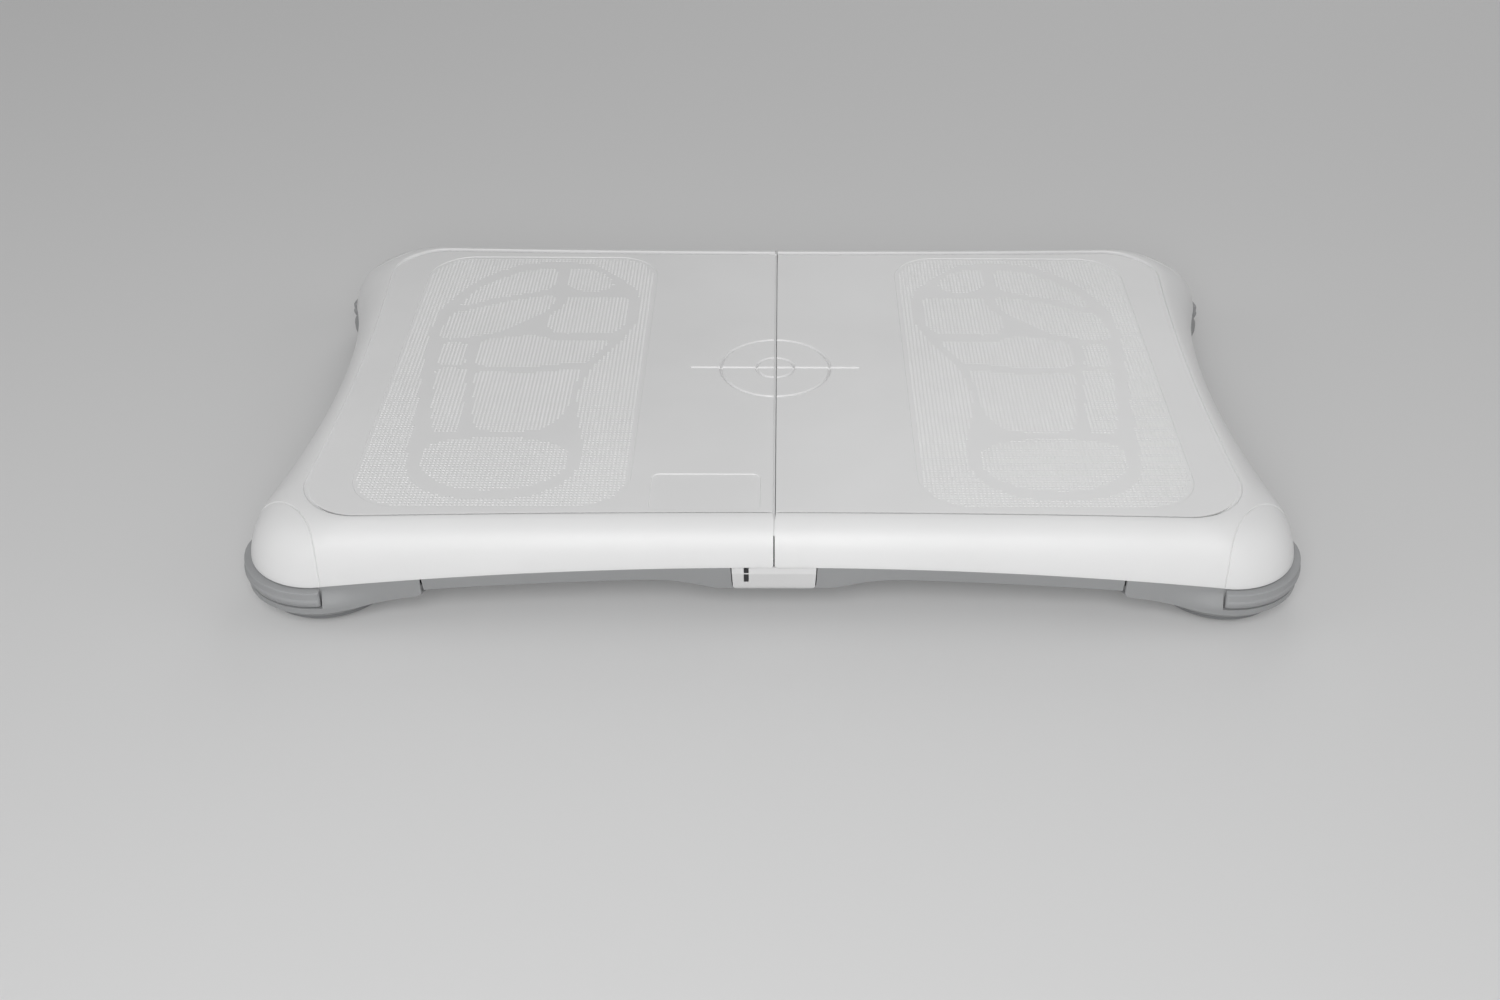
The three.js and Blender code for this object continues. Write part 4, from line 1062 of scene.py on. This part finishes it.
def button_slot():
    """The button's slot in the front wall, which is wider behind a thin skin so that its edge looks dark."""
    through_wall = BUTTON["back"] + BUTTON["through"]
    behind_skin = -DECK_EDGE["mid_y"] + TRAY["inset"] + TRAY["slope"] + TRAY["skin"]
    side_gap, sill_gap = BUTTON["side_gap"], BUTTON["sill_gap"]
    wide_gap = side_gap + BUTTON["behind"]
    slot = prism_along("Y", button_face(side_gap, sill_gap, TOP_Z), BUTTON["front"] - 10, through_wall)
    wide = prism_along("Y", button_face(wide_gap, sill_gap, TOP_Z), behind_skin, through_wall)
    return combine(slot, "UNION", wide)


def build_tray():
    half_x, half_y = BAY["half_x"], BAY["half_y"]
    outer_x, outer_y = half_x + BAY["wall"], half_y + BAY["wall"]
    ledge = DOOR["ledge"]
    ledge_z = DOOR["z0"] + DOOR["thick"] + FIT_GAP
    door_x = DOOR["half_x"] + DOOR["gap"]
    door_y0 = DOOR["y0"] - DOOR["gap"]
    door_y1 = DOOR["axis_y"] + DOOR["thick"] / 2 + DOOR["gap"]
    pocket_x = (SYNC["x"] - SYNC_POCKET["outer_x"], SYNC["x"] + SYNC_POCKET["outer_x"])
    pocket_inner = (SYNC["x"] - SYNC_POCKET["inner_x"], SYNC["x"] + SYNC_POCKET["inner_x"])
    pocket_top = SYNC_POCKET["top"]

    rim_x, rim_z = door_x + ledge, ledge_z + ledge
    bay = combine(
        block(-rim_x, rim_x, door_y0 - ledge, door_y1 + ledge, TRAY["floor"], rim_z),
        "UNION",
        block(-outer_x, outer_x, -outer_y, outer_y, ledge_z, BAY["top"] + BAY["wall"]),
        block(*pocket_x, door_y0 - ledge, -half_y, ledge_z, pocket_top + SYNC_POCKET["roof"]),
    )
    bosses = [cylinder(BOSS["r"], BOSS["z0"], CHASSIS_Z - FIT_GAP, 32, place) for place in BOSS_PLACES]
    tray = combine(tray_bowl(), "UNION", together([bay, *bosses]))

    opening = combine(
        block(-door_x, door_x, door_y0, door_y1, 0.0, ledge_z),
        "UNION",
        block(-half_x, half_x, -half_y, half_y, 1.0, BAY["top"]),
        block(*pocket_inner, door_y0 + 2, -half_y + 1, 1.0, pocket_top),
        cylinder(SYNC["r"] + SYNC["gap"], 2.0, 30.0, 32, (SYNC["x"], SYNC["y"])),
        finger_notch(door_y0),
    )
    cuts = [opening, button_slot()]
    for sign_x, sign_y in CORNERS.values():
        cuts.append(cylinder(FAIRING_R + FAIRING_GAP, 0, TOP_Z, 128, (sign_x * FOOT_X, sign_y * FOOT_Y)))
    well_r, well_top, hole_r = (BOSS[k] for k in ("well_r", "well_top", "hole_r"))
    well = [
        (0, 0.0),
        (well_r + 0.5, 0.0),
        (well_r + 0.5, TRAY["floor"] + 0.1),
        (well_r, TRAY["floor"] + 0.6),
        (well_r, well_top),
        (hole_r, well_top),
        (hole_r, TOP_Z),
        (0, TOP_Z),
    ]
    cuts += [turned(well, 32, place) for place in BOSS_PLACES]
    combine(tray, "DIFFERENCE", together(cuts))
    finish_piece(tray, "tray", "board", "grey_shell", "bottom_tray")


# Corner pieces, made for the front right corner


def above_deck_edge(gap):
    """The space above the deck's lower edge, less a gap."""
    far = 300.0
    shares = np.linspace(-1, 1, 49)
    low = EDGE_MID_Z - EDGE_DROP - gap
    ends = [(far, low), (far, 2 * TOP_Z), (-far, 2 * TOP_Z), (-far, low)]
    heights = EDGE_MID_Z - EDGE_DROP * shares**2 - gap
    front, side = (
        prism_along(axis, np.vstack([ends, np.column_stack([run * shares, heights])]), -far, far)
        for axis, run in (("Y", EDGE_RUN_X), ("X", EDGE_RUN_Y))
    )
    return combine(front, "INTERSECT", side)


# Underside and inside of the domed foot cover, as (radius, height) about the foot
DOME = [
    (33.2, 6.8), (33.7, 7.2), (34.3, 8.0), (35, 8.9), (36, 10.0), (37, 10.9), (38.4, 11.9), (40, 12.75),
    (42.6, 13.95), (45.6, 15.0), (48.4, 15.8), (51.4, 16.45), (55, 17.1), (58.2, 17.6), (59.2, 18.0),
    (59.8, 18.6), (FAIRING_R, 19.4),
]
DOME_INSIDE = [(34.8, 11.2), (38, 13.9), (46, 17.9), (57.6, 20)]
UNDERCUT = {"r0": FAIRING_R - 1.6, "r1": FAIRING_R + 1, "z0": 19.2}


def corner_fairing():
    at = (FOOT_X, -FOOT_Y)
    high = FAIRING_HIGH
    mouth = [(FOOT_HOLE_R, 7.3), (FOOT_HOLE_R + 0.3, 6.8)]
    fairing = turned([*mouth, *DOME, (FAIRING_R, high), (FOOT_HOLE_R, high)], 128, at)
    combine(fairing, "INTERSECT", skirted_wall())
    top_inside = [(DOME_INSIDE[-1][0], high + 1), (DOME_INSIDE[0][0], high + 1)]
    inner_line = outline(DECK_EDGE, TRAY["inset"] + TRAY["wall"])
    hollow = turned([*DOME_INSIDE, *top_inside], 96, at)
    combine(hollow, "INTERSECT", prism(inner_line, 0.0, high + 1))
    over_rim = prism(inner_line, RIM_TOP, high + 1)
    combine(fairing, "DIFFERENCE", hollow, over_rim, above_deck_edge(TRAY["gap"]))
    r0, r1, z0 = UNDERCUT.values()
    undercut = turned([(r0, z0), (r1, z0), (r1, high), (r0, high)], 128, at)
    skin = prism(outline(DECK_EDGE, TRAY["inset"] + TRAY["skin"]), 0.0, high + 1)
    return combine(fairing, "DIFFERENCE", combine(undercut, "INTERSECT", skin))


def smooth_fall(share):
    """From 1 down to 0, level at both ends."""
    return 1 - share**2 * (3 - 2 * share)


def skirted_wall():
    """The cover's outer wall, with a skirt below the bumper that runs out smoothly past the bumper's ends."""
    wall = outline(DECK_EDGE, TRAY["inset"])
    proud = outline(DECK_EDGE, DECK_EDGE["corner_r"] - SKIRT["r"])
    away = proud - (FOOT_X, -FOOT_Y)
    turns = np.unwrap(np.arctan2(away[:, 1], away[:, 0]))
    near = np.nonzero(np.hypot(*away.T) < FAIRING_R + 30)[0]
    first, last = near[0], near[-1]
    start = -QUARTER + math.asin(BUMPER["end_x"] / SKIRT["r"]) - SKIRT["clear_angle"]
    end = -math.asin(BUMPER["end_y"] / SKIRT["r"]) + SKIRT["clear_angle"]
    beside_ends = [start - 1e-4, start + 1e-4, end - 1e-4, end + 1e-4]
    places = np.unique(np.concatenate([
        np.arange(first, last + 0.1, 0.25),
        np.interp(beside_ends, turns[first:last + 1], np.arange(first, last + 1)),
    ]))
    count = np.arange(len(wall))

    def with_places(line):
        mid = np.column_stack([np.interp(places, count, line[:, k]) for k in (0, 1)])
        return np.vstack([line[:first], mid, line[last + 1:]])

    wall, proud = with_places(wall), with_places(proud)
    away = proud - (FOOT_X, -FOOT_Y)
    turns = np.arctan2(away[:, 1], away[:, 0])
    past_ends = [np.clip(t * SKIRT["r"] / SKIRT["run"], 0, 1) for t in (start - turns, turns - end)]
    reach = smooth_fall(np.where(turns > QUARTER, 1.0, np.maximum(*past_ends)))
    above_ledge = np.where((turns > start) & (turns < end), 0.0, reach)
    ledge = BUMPER["z0"] - FIT_GAP
    rings = [level(wall + (proud - wall) * reach[:, None], z) for z in (0.0, ledge)]
    for share in np.linspace(0, 1, 9):
        line = wall + (proud - wall) * (above_ledge * smooth_fall(share))[:, None]
        rings.append(level(line, ledge + 0.02 + (SKIRT["top"] - ledge) * share))
    return loft([*rings, level(wall, TOP_Z)])


def corner_bumper(tail_y, tail_reach):
    """A skin round the corner, with soft lower and upper edges, and ends that round in to the wall."""
    outer, inner = BUMPER["outer_r"], BUMPER["inner_r"]
    z0, z1 = BUMPER["z0"], BUMPER["z1"]
    section = np.array([
        (inner, z0),
        (outer - 2.6, z0),
        (outer - 1.7, z0 + 0.35),
        (outer - 0.9, z0 + 0.95),
        (outer - 0.4, z0 + 1.9),
        (outer - 0.1, z0 + 2.9),
        (outer, z0 + 3.6),
        (outer, z0 + 4.2),
        (outer - 0.12, z0 + 4.6),
        (outer - 0.5, z0 + 5.1),
        (outer - 0.6, z0 + 5.5),
        (outer - 0.65, z1 - 1.0),
        (outer - 0.75, z1 - 0.4),
        (outer - 1.1, z1 - 0.1),
        (outer - 1.6, z1),
        (inner, z1),
    ])
    start = -QUARTER + math.asin(BUMPER["end_x"] / outer)
    end = math.asin(tail_y / outer)
    turns = np.linspace(0, QUARTER, 7)
    front, drawn_in = BUMPER_FRONT_TAPER, outer - inner - 0.8
    stations = [(start + front * (1 - math.cos(a)) / outer, front * (1 - math.sin(a))) for a in turns]
    tail = [(end - tail_reach * (1 - math.cos(a)) / outer, drawn_in * (1 - math.sin(a))) for a in turns[::-1]]
    stations += [(a, 0.0) for a in np.linspace(stations[-1][0], tail[0][0], 48)[1:-1]]
    rings = []
    for angle, inset in stations + tail:
        radius = inner + (section[:, 0] - inner) * (outer - inner - inset) / (outer - inner)
        ring = np.column_stack([FOOT_X + radius * math.cos(angle), -FOOT_Y + radius * math.sin(angle)])
        rings.append(level(ring, section[:, 1]))
    return loft(rings)


def build_corners():
    fairing = corner_fairing()
    bumpers = {sign_y: corner_bumper(*tail) for sign_y, tail in BUMPER_TAILS.items()}
    for corner, (sign_x, sign_y) in CORNERS.items():
        cover = copied(fairing, sign_x, -sign_y)
        finish_piece(cover, f"fairing_{corner}", "board", "grey_shell", f"foot_fairing_{corner}")
        bumper = copied(bumpers[sign_y], sign_x, -sign_y)
        finish_piece(bumper, f"bumper_{corner}", "board", "bumper", f"corner_bumper_{corner}")
    for original in (fairing, *bumpers.values()):
        remove(original)


# Sections of a foot's cup and of its ringed rubber pad, as (radius, height)
CUP_TOP = 29.5
CUP = [
    (0, 2.9), (30.2, 2.9), (30.9, 3.2), (FOOT_R, 3.9), (FOOT_R, 11.6), (30.9, 12), (29.2, 12), (29, 11.6),
    (29, 6), (28.4, 5.4), (9.6, 5.4), (9, 6), (9, CUP_TOP - 0.4), (8.6, CUP_TOP), (4.3, CUP_TOP), (4.3, 12),
    (0, 12),
]
RUBBER = [
    (0, 0.35), (5.0, 0.35), (5.3, 0), (11, 0), (11.3, 0.7), (13.1, 0.7), (13.4, 0), (18.8, 0), (19.1, 0.7),
    (20.9, 0.7), (21.2, 0), (26.2, 0), (27.0, 0.3), (27.5, 0.9), (27.6, 1.4), (27.6, 2.4), (27.4, 2.6),
    (0, 2.6),
]


def build_feet():
    for corner, (sign_x, sign_y) in CORNERS.items():
        foot = f"foot_{corner}"
        for kind, section, slot in (("cup", CUP, "foot_plastic"), ("pad", RUBBER, "foot_rubber")):
            piece = turned(section, 96, (sign_x * FOOT_X, sign_y * FOOT_Y))
            finish_piece(piece, f"{foot}_{kind}", foot, slot, f"foot_{kind}_{corner}")


# Power button


def build_power_button():
    half, z0, z1, crease, lean, front, back = (
        BUTTON[k] for k in ("half_x", "z0", "z1", "crease", "lean", "front", "back")
    )
    over = 2.0
    upper_face = [(front, crease - 0.35), (front + 0.06, crease - 0.1), (front + 0.18, crease + 0.2)]
    side = [
        (front + 0.9, z0 - 1),
        (front + 0.35, z0 + 0.3),
        (front + 0.1, z0 + 0.9),
        (front, z0 + 1.8),
        *upper_face,
        (front + lean * (z1 - crease + over), z1 + over),
        (back + 1, z1 + over),
        (back + 1, z0 - 1),
    ]
    tab = prism_along("Y", button_face(0.0, 0.0, z1), front - 1, back)
    combine(tab, "INTERSECT", prism_along("X", side, -half - 1, half + 1))
    rounded(tab, 0.3, 3)
    gap, rib, lens_z0, lens_z1 = (LENS[k] for k in ("gap", "rib", "z0", "z1"))
    lens_x = (LENS["x"] - LENS["half_x"], LENS["x"] + LENS["half_x"])
    window_x = (lens_x[0] - gap, lens_x[1] + gap)
    window = combine(
        block(*window_x, front - 3, back + 1, lens_z0 - gap, crease - rib),
        "UNION",
        block(*window_x, front - 3, back + 1, crease + rib, TOP_Z),
        block(*window_x, front + 0.8, back + 1, lens_z0 - gap, TOP_Z),
    )
    combine(tab, "DIFFERENCE", window)
    stem = block(-STEM["half_x"], STEM["half_x"], back - 1, STEM["y1"], STEM["z0"], STEM["z1"])
    combine(tab, "UNION", stem)
    finish_piece(tab, "power_tab", "power_button", "white_button", "power_button")

    top = (front + lean * (lens_z1 - crease), lens_z1)
    lens = prism_along("X", [(front, lens_z0), *upper_face, top, (back, lens_z1), (back, lens_z0)], *lens_x)
    between_panes = block(*window_x, front - 3, front + 1.0, crease - rib - 0.1, crease + rib + 0.1)
    rounded(combine(lens, "DIFFERENCE", between_panes), 0.1)
    finish_piece(lens, "light_window", "power_button", "dark_lens", "power_light_lens")


# Battery door and tray screws


def build_battery_door():
    half, y0, z0, thick, axis_y = (DOOR[k] for k in ("half_x", "y0", "z0", "thick", "axis_y"))
    roll = arc(axis_y, z0 + thick / 2, thick / 2, -QUARTER, QUARTER, 16)
    door = prism_along("X", np.vstack([[(y0, z0)], roll, [(y0, z0 + thick)]]), -half, half)
    latch_slits = [block(x - 0.6, x + 0.6, y0 - 1, y0 + 7, 0.0, TOP_Z) for x in (-9, 9)]
    grip = [block(-7.0, 7.0, y0 + 2.2 + k * 1.4, y0 + 2.9 + k * 1.4, 0.0, z0 + 0.35) for k in range(3)]
    combine(door, "DIFFERENCE", together(latch_slits + grip))
    rounded(door, 0.2)
    finish_piece(door, "door", "battery_door", "grey_shell", "battery_door")


# The arms of the cross slot differ a little in depth, so that their floors don't lie in one plane
SCREW = {"head": 2.5, "head_r": 3.8, "shank_r": 1.6, "arm_y": 0.45, "arm_x": 2.0, "depths": (1.3, 1.31)}


def build_screws():
    seat = BOSS["well_top"] - FIT_GAP
    low = seat - SCREW["head"]
    head_r, shank_r, thin, long = (SCREW[k] for k in ("head_r", "shank_r", "arm_y", "arm_x"))
    profile = [
        (0, low),
        (2.6, low),
        (3.3, low + 0.25),
        (head_r, low + 0.9),
        (head_r, seat),
        (shank_r, seat),
        (shank_r, 45.4),
        (0, 45.6),
    ]
    for number, (x, y) in enumerate(BOSS_PLACES, start=1):
        arm, cross_arm = (
            block(x - dx, x + dx, y - dy, y + dy, low - 1, low + depth)
            for dx, dy, depth in zip((long, thin), (thin, long), SCREW["depths"])
        )
        screw = combine(turned(profile, 32, (x, y)), "DIFFERENCE", combine(arm, "UNION", cross_arm))
        finish_piece(screw, f"screw_{number}", "board", "plated_steel", f"tray_screw_{number}")


def main():
    add_camera()
    add_lights()
    add_floor()
    bpy.context.scene.view_settings.view_transform = "Standard"
    make_materials()
    dress_nodes()
    build_deck()
    build_grip_dots()
    build_tray()
    build_corners()
    build_feet()
    build_power_button()
    build_battery_door()
    build_screws()


main()
